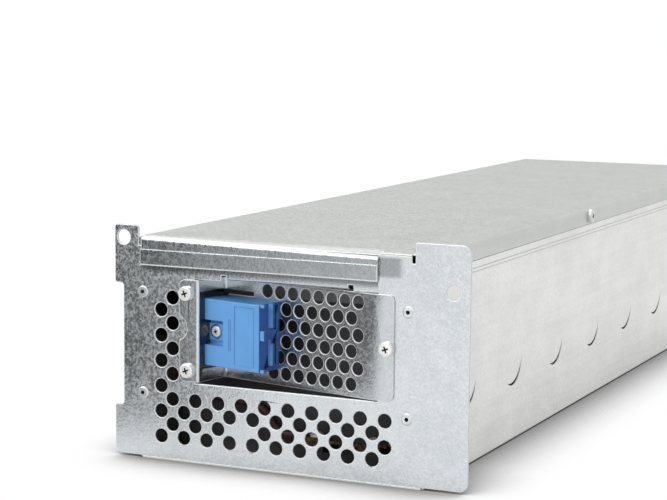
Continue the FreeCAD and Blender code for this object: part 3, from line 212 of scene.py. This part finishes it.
# How many of each detail of the zinc lie in a metre; rolling lines run along Y.
ZINC_CRYSTALS = 760
ZINC_GRAIN = 640
ZINC_CLOUDS = 34
ROLLING_LINES = (240, 8, 240)

# The depth of its relief; how much darker the painted shadow under the lip is; and the tone
# and lost metallic of the painted highlight on the lip's hem.
ZINC_RELIEF = 0.28 * MM
DARKENED_SHARE = 0.3
HEM_HIGHLIGHT_TONE = (0.72, 0.74, 0.75)
HEM_HIGHLIGHT_METALLIC_LOSS = 0.9

# Painted shadow: a darker band under the lip; and a darker patch of this width beside it.
LIP_SHADOW_BAND = 5 * MM
DARK_PATCH = 14.5 * MM
BAND_STRENGTH = 0.88
PATCH_STRENGTH = 0.6

# Details of the other finishes in a metre, and the depth of their relief.
PLASTIC_GRAIN = 2200
PLASTIC_CLOUDS = 60
METAL_WEAR = 400
FINE_RELIEF = 0.1 * MM


def zinc_sheet(name, dark, light, roughness, spread=0.05, relief=0.35, darken=None, rim=None):
    """Zinc-coated steel sheet: small crystals of uneven gloss, clouds and rolling lines.

    darken gives how much the painted shadow darkens the zinc at a place, and rim how strongly
    the painted highlight along a hem shows there.
    """
    finish = Finish(name, Metallic=1.0)
    crystal = finish.crystals(ZINC_CRYSTALS)
    grain = finish.noise(ZINC_GRAIN, 3, 0.65)
    clouds = finish.noise(ZINC_CLOUDS, 4, 0.6)
    rolled = finish.noise(1, 2, 0.5, finish.place(ROLLING_LINES))
    level = grain * 0.35 + crystal * 0.12 + clouds * 0.35 + rolled * 0.15
    colour = finish.mix(finish.step(level, 0.34, 0.62), dark, light)
    if darken:
        # Painted shadow: the zinc goes darker where darken says so.
        colour = finish.mix(darken(finish), colour, times(dark, DARKENED_SHARE))
    if rim:
        # Painted highlight: paler, less metallic zinc along the hem.
        hem_highlight = rim(finish)
        colour = finish.mix(hem_highlight, colour, HEM_HIGHLIGHT_TONE)
        finish.feed("Metallic", 1 - hem_highlight * HEM_HIGHLIGHT_METALLIC_LOSS)
    finish.feed("Base Color", colour)
    gloss = crystal * 0.45 + grain * 0.75
    finish.feed("Roughness", finish.step(gloss, 0.35, 0.85, roughness - spread,
                                         roughness + spread))
    finish.bump(grain * 0.8 + clouds * 0.9, relief, ZINC_RELIEF)
    return finish


def under_the_lip(finish):
    """Painted shadow: darker zinc just below the cover's lip; and a darker patch beside it."""
    across, _, height = finish.axes()
    below = finish.step(height, lip_bottom - LIP_SHADOW_BAND, lip_bottom - 0.8 * MM)
    along = (finish.step(across, lip_left - 1 * MM, lip_left + 1 * MM)
             * finish.step(lip_right - across, -0.2 * MM, 0.4 * MM))
    patch_height = (finish.step(height, lip_bottom + 1.5 * MM, lip_bottom + 4 * MM)
                    * finish.step(plate_high.z - height, 8 * MM, 9.5 * MM))
    patch_width = (finish.step(across, lip_right - 1 * MM, lip_right)
                   * finish.step(lip_right + DARK_PATCH - across, 0, 4 * MM))
    return below * along * BAND_STRENGTH + patch_width * patch_height * PATCH_STRENGTH


def along_the_hem(finish):
    """Painted highlight: the lip's lower edge, made bright where the hem is rolled."""
    height = finish.axes()[2]
    return finish.step(height, lip_bottom + 0.7 * MM, lip_bottom + 1.2 * MM, 1.0, 0.0)


def plastic(name, colour, roughness, speckle=0.04, relief=0.15):
    """Moulded plastic, card or foam: nearly one colour, with a fine grain."""
    finish = Finish(name, Metallic=0.0, IOR=1.5)
    grain = finish.noise(PLASTIC_GRAIN, 2, 0.6)
    clouds = finish.noise(PLASTIC_CLOUDS, 3, 0.5)
    pale = tuple(channel * (1 + speckle) + speckle * 0.05 for channel in colour)
    deep = times(colour, 1 - speckle)
    finish.feed("Base Color", finish.mix(finish.step(clouds, 0.35, 0.65), deep, pale))
    finish.feed("Roughness", finish.step(grain, 0.3, 0.7, roughness - 0.04, roughness + 0.05))
    finish.bump(grain, relief, FINE_RELIEF)
    return finish


def block_case(name, wall, lid, lid_level):
    """A battery block's case: a dark moulded box with a paler lid above one height."""
    finish = plastic(name, wall, 0.5)
    height = finish.axes()[2]
    is_lid = finish.step(height, lid_level, lid_level + 0.2 * MM)
    finish.feed("Base Color", finish.mix(is_lid, wall, lid))
    return finish


def metal(name, dark, light, roughness, metallic=1.0):
    """Small metal parts, slightly worn; less metallic where the coating is matt."""
    finish = Finish(name, Metallic=metallic)
    wear = finish.noise(METAL_WEAR, 4, 0.6)
    finish.feed("Base Color", finish.mix(finish.step(wear, 0.35, 0.65), dark, light))
    finish.feed("Roughness", finish.step(wear, 0.3, 0.7, roughness + 0.08, roughness - 0.04))
    finish.bump(wear, 0.1, FINE_RELIEF)
    return finish


FINISHES = {
    "case_steel": zinc_sheet("case_zinc", (0.68, 0.685, 0.67), (0.82, 0.82, 0.80), 0.34),
    "cover_steel": zinc_sheet("cover_zinc", (0.525, 0.545, 0.53), (0.61, 0.625, 0.61), 0.38),
    # The plate carries the painted shadow under the lip and the darker patch beside it.
    "plate_steel": zinc_sheet("plate_zinc", (0.62, 0.655, 0.68), (0.75, 0.78, 0.81), 0.24,
                              spread=0.09, relief=0.6, darken=under_the_lip),
    "blue_plastic": plastic("plug_blue", (0.096, 0.285, 0.585), 0.38),
    # Copper inside the case: dark tarnish, darkened further as painted shade.
    "plated_copper": metal("copper_tarnish_and_shade", (0.05, 0.035, 0.02), (0.21, 0.14, 0.055), 0.35),
    "screw_steel": metal("bright_zinc", (0.70, 0.71, 0.70), (0.86, 0.86, 0.84), 0.25, 0.4),
    "rivet_steel": metal("rivet_zinc", (0.62, 0.64, 0.65), (0.80, 0.82, 0.82), 0.35),
    "battery_case": block_case("block_case", (0.035, 0.036, 0.04), (0.30, 0.31, 0.32),
                               block_top - BLOCK_LID_HEIGHT),
    "terminal_brass": metal("terminal_brass", (0.62, 0.42, 0.15), (0.80, 0.60, 0.28), 0.3),
    "foam": plastic("foam_strip", (0.05, 0.05, 0.052), 0.9, speckle=0.1, relief=0.6),
    "liner_card": plastic("liner_card", (0.22, 0.22, 0.20), 0.8, speckle=0.06, relief=0.3),
    "black_plastic": plastic("fuse_moulding", (0.03, 0.03, 0.03), 0.45),
    # Red insulation darkened to almost black as painted shade inside the case.
    "lead_red": plastic("shaded_red_insulation", (0.035, 0.002, 0.005), 0.42),
    "lead_black": plastic("black_insulation", (0.015, 0.015, 0.016), 0.45),
}
pan_zinc = zinc_sheet("pan_zinc", (0.555, 0.59, 0.615), (0.67, 0.70, 0.73), 0.22, relief=0.3)
# Painted shade: a darker copy of the cover zinc for the lip's front faces, with a painted
# highlight along its hem.
lip_shaded_zinc = zinc_sheet("lip_shaded_zinc", (0.36, 0.385, 0.40), (0.46, 0.485, 0.50), 0.28,
                      spread=0.06, rim=along_the_hem)
# Painted highlight: a pale, non-metal finish on the roundings at the lip's hem and ends.
hem_edge_highlight = plastic("hem_edge_highlight", (0.80, 0.82, 0.82), 0.5)
# Cut edges: partly the bare steel of the cut, partly a painted highlight, being paler and less
# metallic than the zinc.
cut_edge_highlight = metal("cut_edge_highlight", (0.62, 0.64, 0.65), (0.70, 0.72, 0.72), 0.45, 0.25)
# Painted shade: a darker copy of the plug's blue for its mating end faces and its shoulder.
plug_shaded_blue = plastic("plug_shaded_blue", (0.033, 0.115, 0.40), 0.45)
recess_shade = metal("recess_shade", (0.03, 0.03, 0.032), (0.07, 0.07, 0.075), 0.5)


def add_finish(piece, finish):
    """Give a piece one more finish, and return the number of its slot."""
    piece.data.materials.append(finish.material)
    return len(piece.data.materials) - 1


def dress(piece, finish):
    """Give a piece one finish in place of all that it had."""
    piece.data.materials.clear()
    add_finish(piece, finish)


def dress_nodes():
    """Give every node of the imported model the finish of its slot."""
    slot_of = {entry["node"]: entry["material_slot"] for entry in frame["record"]["subparts"]}
    for name, node in nodes.items():
        dress(node, FINISHES[slot_of[name]])


# Working on a piece ----------------------------------------------------------------------

SHARP_FOLD = math.radians(30)
EVEN_SHADING_LIMIT = math.radians(35)


def deselect():
    bpy.ops.object.select_all(action="DESELECT")


def pick(*pieces):
    """Select these pieces and nothing else, the first one active."""
    deselect()
    for piece in pieces:
        piece.select_set(True)
    bpy.context.view_layer.objects.active = pieces[0]


def apply_modifiers(piece):
    pick(piece)
    for modifier in list(piece.modifiers):
        bpy.ops.object.modifier_apply(modifier=modifier.name)


def merged(pieces):
    pick(*pieces)
    bpy.ops.object.join()
    return bpy.context.object


def clean_copy(node):
    """A copy of a node with its loose triangles joined into whole faces."""
    piece = bpy.data.objects.new(node + "_copy", nodes[node].data.copy())
    bpy.context.scene.collection.objects.link(piece)
    pick(piece)
    bpy.ops.object.mode_set(mode="EDIT")
    bpy.ops.mesh.select_all(action="SELECT")
    bpy.ops.mesh.remove_doubles(threshold=1e-6)
    bpy.ops.mesh.dissolve_limited(angle_limit=math.radians(1))
    bpy.ops.object.mode_set(mode="OBJECT")
    return piece


def cut_across(piece, axis, places):
    """Add lines across a piece at some places along an axis."""
    normal = Vector((0, 0, 0))
    normal[axis] = 1
    pick(piece)
    bpy.ops.object.mode_set(mode="EDIT")
    for place in places:
        bpy.ops.mesh.select_all(action="SELECT")
        bpy.ops.mesh.bisect(plane_co=normal * place, plane_no=normal)
    bpy.ops.object.mode_set(mode="OBJECT")


def soften(piece, width, bright=False):
    """Round the edges slightly; bright gives the rounding a paler, less metallic cut-edge
    finish: partly the bare steel of the cut, partly a painted highlight.
    """
    rounding = piece.modifiers.new("rounding", "BEVEL")
    rounding.width = width
    rounding.segments = 2
    rounding.limit_method = "ANGLE"
    rounding.angle_limit = SHARP_FOLD
    rounding.use_clamp_overlap = False
    if bright:
        rounding.material = add_finish(piece, cut_edge_highlight)
    apply_modifiers(piece)
    return piece


def settle(piece, name, slot, *replaced):
    """Name a finished piece, shade it evenly and let it ride in place of its node."""
    piece.name = piece.data.name = name
    pick(piece)
    bpy.ops.object.transform_apply(location=True, rotation=True, scale=True)
    bpy.ops.object.shade_smooth_by_angle(angle=EVEN_SHADING_LIMIT)
    even = piece.modifiers.new("even_shading", "WEIGHTED_NORMAL")
    even.keep_sharp = True
    apply_modifiers(piece)
    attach(piece, "root")
    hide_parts(*replaced)


# Screws ----------------------------------------------------------------------------------

HEAD_HEIGHT = 2.3 * MM
PLUG_HEAD_HEIGHT = 2.2 * MM
PAN_HEAD_RADIUS = 4.0 * MM
COVER_HEAD_RADIUS = 4.3 * MM
PLUG_HEAD_RADIUS = 3.2 * MM
SHANK_RADIUS = 1.8 * MM

# The cross recess, as shares of the head's radius and height, and its turn in radians.
RECESS_REACH = 0.56
RECESS_WIDTH = 0.28
RECESS_BLADE_HEIGHT = 1.3
RECESS_TAPER = 0.6
RECESS_TURN = 0.35


def screw_head(radius, height):
    """A pan head with a cross recess, standing on the origin along Z."""
    deselect()
    bpy.ops.mesh.primitive_cylinder_add(vertices=48, radius=radius, depth=height,
                                        location=(0, 0, height / 2))
    head = bpy.context.object
    bpy.ops.object.transform_apply(location=True)
    add_finish(head, FINISHES["screw_steel"])
    recess_slot = add_finish(head, recess_shade)
    round_crown(head, height)
    recess_reach = radius * RECESS_REACH
    blade = (recess_reach * 2, radius * RECESS_WIDTH, height * RECESS_BLADE_HEIGHT)
    for turn in (0, 90):
        cut_with_blade(head, blade, height, turn)
    # Painted shade: the faces inside the cross recess take the dark recess finish.
    for face in head.data.polygons:
        inside = face.center.xy.length < recess_reach * 1.05
        if inside and 0.1 * height < face.center.z < 0.97 * height:
            face.material_index = recess_slot
    return head


def round_crown(head, height):
    """Round a head's upper rim down to half its height."""
    bpy.ops.object.mode_set(mode="EDIT")
    bpy.ops.mesh.select_all(action="DESELECT")
    shape = bmesh.from_edit_mesh(head.data)
    for edge in shape.edges:
        edge.select = all(vert.co.z > height / 2 for vert in edge.verts)
    shape.select_flush_mode()
    bmesh.update_edit_mesh(head.data)
    bpy.ops.mesh.bevel(offset=height * 0.5, segments=6, profile=0.5)
    bpy.ops.object.mode_set(mode="OBJECT")


def cut_with_blade(head, size, level, turn):
    """Cut one bar of the cross with a blade centred on a level, narrower below it."""
    deselect()
    bpy.ops.mesh.primitive_cube_add(size=1, location=(0, 0, level))
    blade = bpy.context.object
    blade.scale = size
    blade.rotation_euler.z = math.radians(turn)
    bpy.ops.object.transform_apply(location=True, rotation=True, scale=True)
    for vert in blade.data.vertices:
        if vert.co.z < level:
            vert.co.x *= RECESS_TAPER
            vert.co.y *= RECESS_TAPER
    recess = head.modifiers.new("recess", "BOOLEAN")
    recess.operation = "DIFFERENCE"
    recess.object = blade
    apply_modifiers(head)
    bpy.data.objects.remove(blade)


def shank(length):
    """A plain shank hanging from the origin along Z."""
    deselect()
    bpy.ops.mesh.primitive_cylinder_add(vertices=32, radius=SHANK_RADIUS, depth=length,
                                        location=(0, 0, -length / 2))
    bpy.ops.object.transform_apply(location=True)
    return bpy.context.object


def screws(name, node, spots, head_radius, head_height):
    """Cross-recess screws in place of a node; spots are (seat, direction, length)."""
    pattern = screw_head(head_radius, head_height)
    pieces = []
    for seat, direction, length in spots:
        head = pattern.copy()
        head.data = pattern.data.copy()
        bpy.context.scene.collection.objects.link(head)
        turned = direction.to_track_quat("Z", "Y").to_matrix().to_4x4()
        place = Matrix.Translation(seat) @ turned @ Matrix.Rotation(RECESS_TURN, 4, "Z")
        for piece in (head, shank(length)):
            piece.data.transform(place)
            pieces.append(piece)
    bpy.data.objects.remove(pattern)
    settle(merged(pieces), name, "screw_steel", node)


def make_pan_screws():
    """The screws through the pan's wings, driven from the front."""
    spots = []
    for low, high in islands("pan_screws"):
        seat = Vector(((low.x + high.x) / 2, low.y + HEAD_HEIGHT, (low.z + high.z) / 2))
        spots.append((seat, Vector((0, -1, 0)), high.y - seat.y))
    screws("pan_screw_set", "pan_screws", spots, PAN_HEAD_RADIUS, HEAD_HEIGHT)


def make_cover_screws():
    """The screws through the cover's side flanges, driven from either side."""
    spots = []
    for low, high in islands("cover_screws"):
        outward = -1 if low.x < cover_low.x else 1
        seat_x = low.x + HEAD_HEIGHT if outward < 0 else high.x - HEAD_HEIGHT
        seat = Vector((seat_x, (low.y + high.y) / 2, (low.z + high.z) / 2))
        spots.append((seat, Vector((outward, 0, 0)), high.x - low.x - HEAD_HEIGHT))
    screws("cover_screw_set", "cover_screws", spots, COVER_HEAD_RADIUS, HEAD_HEIGHT)


def make_plug_screw():
    """The screw that holds the plug against the pan."""
    low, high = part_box("plug_screw")
    middle = (low + high) / 2
    tip, crown = reach("plug_screw", plug_out)
    seat = middle + plug_out * (crown - PLUG_HEAD_HEIGHT - middle.dot(plug_out))
    spots = [(seat, plug_out, crown - tip - PLUG_HEAD_HEIGHT)]
    screws("plug_screw_set", "plug_screw", spots, PLUG_HEAD_RADIUS, PLUG_HEAD_HEIGHT)


# Folded sheets ---------------------------------------------------------------------------

# Widths of the rolled rims, and the dip of the cover's front edge.
PLATE_RIM = 0.48 * MM
PAN_RIM = 0.42 * MM
COVER_RIM = 0.36 * MM
TRAY_RIM = 0.3 * MM
SAG = 2.2 * MM
SAG_LENGTH = 9 * MM
SAG_CURVE = 1.6
SAG_BESIDE_LIP = 0.35


def make_cover():
    """The cover: its front edge sags toward the hemmed lip, which is folded over the plate."""
    cover = clean_copy("top_cover")
    cut_across(cover, 1, [front + SAG_LENGTH * share for share in (0.25, 0.5, 0.75, 1)])
    cut_across(cover, 0, [lip_left - 0.05 * MM, lip_left + 0.05 * MM,
                          lip_right, lip_right + 1.5 * MM])
    sag_front_edge(cover)
    soften(cover, COVER_RIM, bright=True)
    for vert in cover.data.vertices:
        vert.co.y = max(vert.co.y, cover_low.y)
    finish_lip(cover)
    settle(cover, "cover_sheet", "cover_steel", "top_cover")


def sag_front_edge(cover):
    """Let the top sheet dip toward the lip, and less so to the right of it."""
    for vert in cover.data.vertices:
        spot = vert.co
        behind = (spot.y - front) / SAG_LENGTH
        if spot.z < cover_high.z - 2.6 * MM or behind >= 1 or spot.x < lip_left:
            continue
        share = (1 - max(behind, 0)) ** SAG_CURVE
        at_lip = spot.x <= lip_right + 0.1 * MM
        spot.z -= SAG * share * (1 if at_lip else SAG_BESIDE_LIP)


def finish_lip(cover):
    """Painted shade: a darker copy of the cover zinc on the lip's face; painted highlight:
    pale roundings at its hem and ends.
    """
    lip_shade_slot = add_finish(cover, lip_shaded_zinc)
    hem_highlight_slot = add_finish(cover, hem_edge_highlight)
    for face in cover.data.polygons:
        if face.center.y > front:
            continue
        is_rounding = face.material_index > 0
        near_rim = (face.center.z < lip_bottom + 0.8 * MM
                    or not lip_left + 0.6 * MM < face.center.x < lip_right - 0.6 * MM)
        if is_rounding and near_rim:
            face.material_index = hem_highlight_slot
        elif face.normal.y < -0.8:
            face.material_index = lip_shade_slot


def make_sheet_pieces():
    """The other folded sheets, with rolled rims round every punched hole, their roundings in
    the paler cut-edge finish that is partly a painted highlight.
    """
    plate = soften(clean_copy("front_plate"), PLATE_RIM, bright=True)
    settle(plate, "front_sheet", "plate_steel", "front_plate")
    pan = clean_copy("connector_pan")
    dress(pan, pan_zinc)
    soften(pan, PAN_RIM, bright=True)
    settle(pan, "pan_sheet", "plate_steel", "connector_pan")
    tray = soften(clean_copy("base_tray"), TRAY_RIM, bright=True)
    settle(tray, "tray_sheet", "case_steel", "base_tray")


# Plug ------------------------------------------------------------------------------------

HOUSING_ROUNDING = 0.3 * MM
SHOULDER_ROUNDING = 0.4 * MM
MATING_END = 9 * MM
MATING_END_SHORTENED = 0.28

# The shoulder's length, how far it runs into the housing, and how much smaller it is.
SHOULDER_LENGTH = 10 * MM
SHOULDER_OVERLAP = 0.5 * MM
SHOULDER_FROM_BACK = 1 * MM
SHOULDER_SHALLOWER = 4 * MM
SHOULDER_LOWER = 3 * MM


def make_plug():
    """The plug's housing, with the set-back shoulder where its leads come in."""
    housing = soften(clean_copy("plug_housing"), HOUSING_ROUNDING)
    _, end = reach("plug_housing", plug_along)
    for vert in housing.data.vertices:
        beyond = vert.co.dot(plug_along) - (end - MATING_END)
        if beyond > 0:
            vert.co -= plug_along * beyond * MATING_END_SHORTENED
    # Painted shade: the faces of the mating end take the darker blue.
    shaded_mouth_slot = add_finish(housing, plug_shaded_blue)
    for face in housing.data.polygons:
        if face.normal.dot(plug_along) > 0.7:
            face.material_index = shaded_mouth_slot
    settle(merged([housing, shoulder()]), "plug_shell", "blue_plastic", "plug_housing")


def shoulder():
    """A block a little smaller than the housing, let into the end away from its mouth."""
    low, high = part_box("plug_housing")
    start, _ = reach("plug_housing", plug_along)
    back, face = reach("plug_housing", plug_out)
    size = Vector((SHOULDER_LENGTH, face - back - SHOULDER_SHALLOWER,
                   high.z - low.z - SHOULDER_LOWER))
    centre = (plug_along * (start + SHOULDER_OVERLAP - size.x / 2)
              + plug_out * (back + SHOULDER_FROM_BACK + size.y / 2)
              + UP * (low.z + high.z) / 2)
    turn = Matrix((plug_along, plug_out, UP)).transposed().to_4x4()
    deselect()
    bpy.ops.mesh.primitive_cube_add(size=1)
    block = bpy.context.object
    block.data.transform(Matrix.Translation(centre) @ turn @ Matrix.Diagonal((*size, 1)))
    bpy.ops.object.mode_set(mode="EDIT")
    bpy.ops.mesh.select_all(action="SELECT")
    bpy.ops.mesh.normals_make_consistent(inside=False)
    bpy.ops.object.mode_set(mode="OBJECT")
    # Painted shade: the shoulder takes the darker blue.
    add_finish(block, plug_shaded_blue)
    return soften(block, SHOULDER_ROUNDING)


# Floor, light and camera -----------------------------------------------------------------

# The room's strength as a light, where 1 is what the lens and reflections see of it.
AMBIENT = 0.45
FLOOR_WIDTH = 14
FLAG_HEADING = 27.6


def make_world():
    """A white room: full white to the lens and in reflections, softer as a light."""
    world = bpy.data.worlds.new("studio")
    world.use_nodes = True
    tree = world.node_tree
    back = tree.nodes["Background"]
    back.inputs["Color"].default_value = (1, 1, 1, 1)
    path = tree.nodes.new("ShaderNodeLightPath")
    level = None
    for kind in ("Is Camera Ray", "Is Glossy Ray", "Is Transmission Ray"):
        share = tree.nodes.new("ShaderNodeMath")
        share.operation = "MULTIPLY_ADD"
        share.inputs[1].default_value = 1 - AMBIENT
        share.inputs[2].default_value = AMBIENT
        tree.links.new(path.outputs[kind], share.inputs[0])
        if level is not None:
            tree.links.new(level, share.inputs[2])
        level = share.outputs[0]
    tree.links.new(level, back.inputs["Strength"])
    bpy.context.scene.world = world


def flat_card(name, centre, size, tilt, heading):
    """A plane of a given size, tipped about its own X and then turned about Z."""
    deselect()
    bpy.ops.mesh.primitive_plane_add(size=1, location=centre)
    card = bpy.context.object
    card.name = name
    card.scale = (*size, 1)
    card.rotation_euler = (math.radians(tilt), 0, math.radians(heading))
    return card


def make_floor():
    """A pale floor: white round the cartridge, with a soft shadow where it stands."""
    floor = flat_card("floor", (0, 0, 0), (FLOOR_WIDTH, FLOOR_WIDTH), 0, 0)
    material = bpy.data.materials.new("pale_floor")
    material.use_nodes = True
    tree = material.node_tree
    tree.nodes.clear()
    path = tree.nodes.new("ShaderNodeLightPath")
    last = tree.nodes.new("ShaderNodeBsdfDiffuse")
    last.inputs["Color"].default_value = (0.80, 0.80, 0.80, 1)
    # Width of the shadow, its darkest tone and the sky share where it ends, per kind of ray.
    for kind, width, darkest, ends in (("Is Glossy Ray", 0.30, 0.58, 0.9),
                                       ("Is Camera Ray", 0.062, 0.05, 0.94)):
        open_sky = tree.nodes.new("ShaderNodeAmbientOcclusion")
        open_sky.inputs["Distance"].default_value = width
        rise = tree.nodes.new("ShaderNodeMapRange")
        rise.interpolation_type = "SMOOTHSTEP"
        for socket, value in (("From Min", 0.3), ("From Max", ends), ("To Min", darkest)):
            rise.inputs[socket].default_value = value
        tree.links.new(open_sky.outputs["AO"], rise.inputs["Value"])
        white = tree.nodes.new("ShaderNodeEmission")
        tree.links.new(rise.outputs[0], white.inputs["Strength"])
        choose = tree.nodes.new("ShaderNodeMixShader")
        tree.links.new(path.outputs[kind], choose.inputs[0])
        tree.links.new(last.outputs[0], choose.inputs[1])
        tree.links.new(white.outputs[0], choose.inputs[2])
        last = choose
    output = tree.nodes.new("ShaderNodeOutputMaterial")
    tree.links.new(last.outputs[0], output.inputs["Surface"])
    floor.data.materials.append(material)


def make_flag(name, centre, size, tilt, heading, depth, fades):
    """A dark flag that shows only in reflections.

    fades are the shares of its size over which it fades at its left, right, low and
    high edge.
    """
    flag = flat_card(name, centre, size, tilt, heading)
    finish = Finish(name, Base_Color=(0, 0, 0, 1), Roughness=1.0, Specular_IOR_Level=0.0)
    along, up, _ = finish.axes("UV")
    left, right, low, high = fades
    opacity = (finish.step(along, 0, left) * finish.step(1 - along, 0, right)
               * finish.step(up, 0, low) * finish.step(1 - up, 0, high) * depth)
    finish.feed("Alpha", opacity)
    flag.data.materials.append(finish.material)
    flag.visible_camera = False
    flag.visible_diffuse = False
    flag.visible_shadow = False
    flag.visible_transmission = False


def make_flags():
    """Flags to the left of the front for the plate, and one far behind for the lid."""
    heading = math.radians(FLAG_HEADING)
    out = Vector((-math.sin(heading), -math.cos(heading), 0))
    left = Vector((out.y, -out.x, 0))
    foot = Vector((-0.035, front, 0))
    length, width, margin = 0.85, 0.30, 0.02
    spot = foot + out * (margin + length / 2) + left * (width / 2 - margin)
    make_flag("floor_flag", (spot.x, spot.y, 0.002), (width, length), 0, -FLAG_HEADING, 0.88,
              (0.3, 0.15, 0.08, 0.25))
    distance, aside = 0.9, 0.21
    spot = foot + out * distance + left * aside
    make_flag("standing_flag", (spot.x, spot.y, 0.4), (0.52, 0.80), 90, -FLAG_HEADING, 1.0,
              (0.12, 0.12, 0.01, 0.25))
    make_flag("rear_flag", (-1.0, 2.3, 0.75), (2.4, 1.5), 90, 24, 0.42, (0.2, 0.2, 0.01, 0.3))


def hang_lamp(light, spot, aim):
    """Put a light at a spot, shining along a direction."""
    lamp = bpy.data.objects.new(light.name, light)
    bpy.context.scene.collection.objects.link(lamp)
    lamp.location = spot
    lamp.rotation_euler = aim.to_track_quat("-Z", "Y").to_euler()


def make_overhead():
    """One very wide soft light from above and a little behind."""
    light = bpy.data.lights.new("overhead", "SUN")
    light.energy = 1.0
    light.angle = math.radians(70)
    hang_lamp(light, Vector((0, 0, 0)), Vector((0.25, -0.2, -1)))


def make_front_fill():
    """A wide panel of light in front, up to the left."""
    light = bpy.data.lights.new("front_fill", "AREA")
    light.shape = "RECTANGLE"
    light.size = 1.5
    light.size_y = 1.1
    light.energy = 34
    spot, target = Vector((-0.9, -1.9, 1.3)), Vector((0, -0.3, 0.05))
    hang_lamp(light, spot, target - spot)


def make_camera():
    """A long lens in front, to the right and a little above the lid."""
    data = bpy.data.cameras.new("lens")
    data.sensor_width = 36
    data.lens = 105.25
    data.clip_end = 50
    camera = bpy.data.objects.new("camera", data)
    bpy.context.scene.collection.objects.link(camera)
    place = Vector((0.4423, front - 0.90088, 0.2437))
    forward = Vector((-0.4152, 0.9013, -0.1233)).normalized()
    right = Vector((0.9078, 0.4194, 0.0093))
    right = (right - forward * right.dot(forward)).normalized()
    above = right.cross(forward)
    turn = Matrix((right, above, -forward)).transposed()
    camera.matrix_world = Matrix.Translation(place) @ turn.to_4x4()
    bpy.context.scene.camera = camera


# Build -----------------------------------------------------------------------------------

dress_nodes()
make_pan_screws()
make_cover_screws()
make_cover()
make_sheet_pieces()
make_plug_screw()
make_plug()

make_world()
make_floor()
make_overhead()
make_front_fill()
make_flags()
make_camera()
bpy.context.scene.view_settings.view_transform = "Standard"
